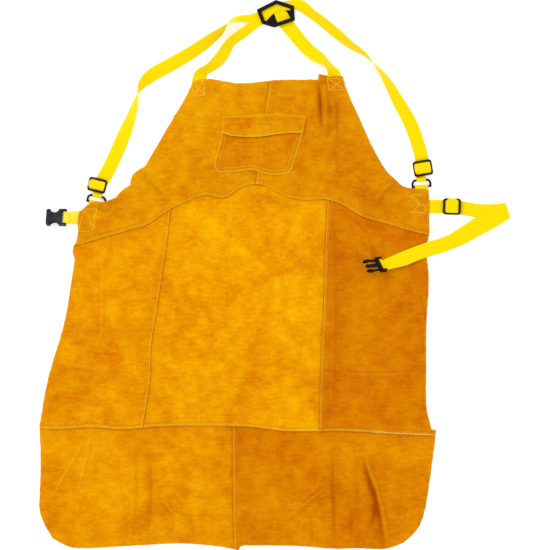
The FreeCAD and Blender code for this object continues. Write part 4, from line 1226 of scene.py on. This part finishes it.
def waist_strap():
    """One length of webbing from the right hip, folded back on itself and round the plug's bar."""
    inner = strap_pairs(WAIST_INNER)
    turn = []
    for a in np.linspace(-math.pi / 2, math.pi / 2, 9):
        out = FOLD_WAY * FOLD_RADIUS * math.cos(a)
        z = FOLD_Z + FOLD_RADIUS * math.sin(a)
        turn.append((np.append(FOLD_TOP + out, z), np.append(FOLD_LOW + out, z)))
    tail = np.array(WAIST_TAIL, float)
    middle = tail.mean(axis=1)
    s = np.concatenate([[0], np.cumsum(np.linalg.norm(np.diff(middle, axis=0), axis=1))])
    dense = natural(s, tail.reshape(len(tail), 6), np.arange(0, s[-1], 2.5)).reshape(-1, 2, 3)
    return np.concatenate([inner, np.array(turn), dense[1:], bar_turn(PLUG_AXES, PLUG_AT, 13.0)])


obj, length = band("waist_strap_webbing", soften(resample(waist_strap()), 3))
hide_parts("waist_strap_inner", "waist_strap_tail")
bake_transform(obj)


# ---- hardware ----
SHARP = math.radians(32)         # edges at least this sharp are rounded over
NEARLY_FLAT = math.radians(1.5)


def refined(node, bevel, body, inner):
    """The CAD piece with its edges rounded over, as the moulded one has them, and with the upright
    inner corners of its windows filled to a radius."""
    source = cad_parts[node]
    b = bmesh.new()
    b.from_mesh(source.data)
    bmesh.ops.remove_doubles(b, verts=b.verts, dist=2e-6)
    bmesh.ops.dissolve_limit(b, angle_limit=NEARLY_FLAT, verts=b.verts, edges=b.edges)
    if inner:
        posts = [e for e in b.edges if len(e.link_faces) == 2 and not e.is_convex
                 and abs((e.verts[0].co - e.verts[1].co).normalized().z) > 0.99]
        bmesh.ops.bevel(b, geom=posts, offset=inner * MM, segments=4, profile=0.5, affect="EDGES")
    sharp = [e for e in b.edges if len(e.link_faces) == 2 and e.calc_face_angle(0) > SHARP]
    bmesh.ops.bevel(b, geom=sharp, offset=bevel * MM, segments=3, profile=0.6, affect="EDGES",
                    clamp_overlap=True)
    mesh = bpy.data.meshes.new(node + "_moulded")
    b.to_mesh(mesh)
    b.free()
    mesh.shade_smooth()
    obj = bpy.data.objects.new(node + "_moulded", mesh)
    bpy.context.scene.collection.objects.link(obj)
    finish_with(obj, BLACK)
    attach(obj, body)
    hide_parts(node)


for node, bevel, body, inner in (
        ("cross_slider_frame", 1.0, "cross_slider", 2.0), ("cross_slider_back", 0.5, "cross_slider", 0),
        ("tri_glide_left", 0.8, "glide_left", 2.4), ("tri_glide_right", 0.8, "glide_right", 2.4),
        ("tri_glide_waist", 0.8, "glide_waist", 2.8), ("buckle_socket", 0.5, "socket", 0),
        ("buckle_plug", 0.7, "plug", 0), ("buckle_prong_upper", 0.6, "prong_upper", 0),
        ("buckle_prong_lower", 0.6, "prong_lower", 0)):
    refined(node, bevel, body, inner)
for node in ("d_ring_left", "d_ring_right"):
    finish_with(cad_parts[node], RING_BLACK)

# ---- floor and light ----
FLOOR = 9000.0           # half its width
FLOOR_Z = -0.4
floor = make("floor", [(-FLOOR, -FLOOR, FLOOR_Z), (FLOOR, -FLOOR, FLOOR_Z), (FLOOR, FLOOR, FLOOR_Z),
                       (-FLOOR, FLOOR, FLOOR_Z)], [(0, 1, 2, 3)])
m = Nodes("floor")
white = m.mix(m.noise(m.where(), 2.0, 2.0), (0.955, 0.955, 0.955, 1), (0.965, 0.965, 0.965, 1))
finish_with(floor, m.surface(Base_Color=white, Roughness=0.9, Emission_Color=(1, 1, 1, 1),
                             Emission_Strength=0.25))

world = bpy.data.worlds.new("studio")
bpy.context.scene.world = world
world.use_nodes = True
sky = world.node_tree.nodes["Background"]
sky.inputs["Color"].default_value = (1, 1, 1, 1)
sky.inputs["Strength"].default_value = 0.95


def lamp(name, place, size, power):
    """A soft square light, aimed at the middle of the apron."""
    light = bpy.data.objects.new(name, bpy.data.lights.new(name, "AREA"))
    light.data.size = size
    light.data.energy = power
    light.location = place
    light.rotation_mode = "QUATERNION"
    light.rotation_quaternion = (Vector((0, 0, 0)) - Vector(place)).to_track_quat("-Z", "Y")
    bpy.context.scene.collection.objects.link(light)


lamp("key", (-1.6, 1.9, 2.0), 0.9, 30.0)
lamp("fill", (1.8, -0.6, 2.2), 2.0, 14.0)
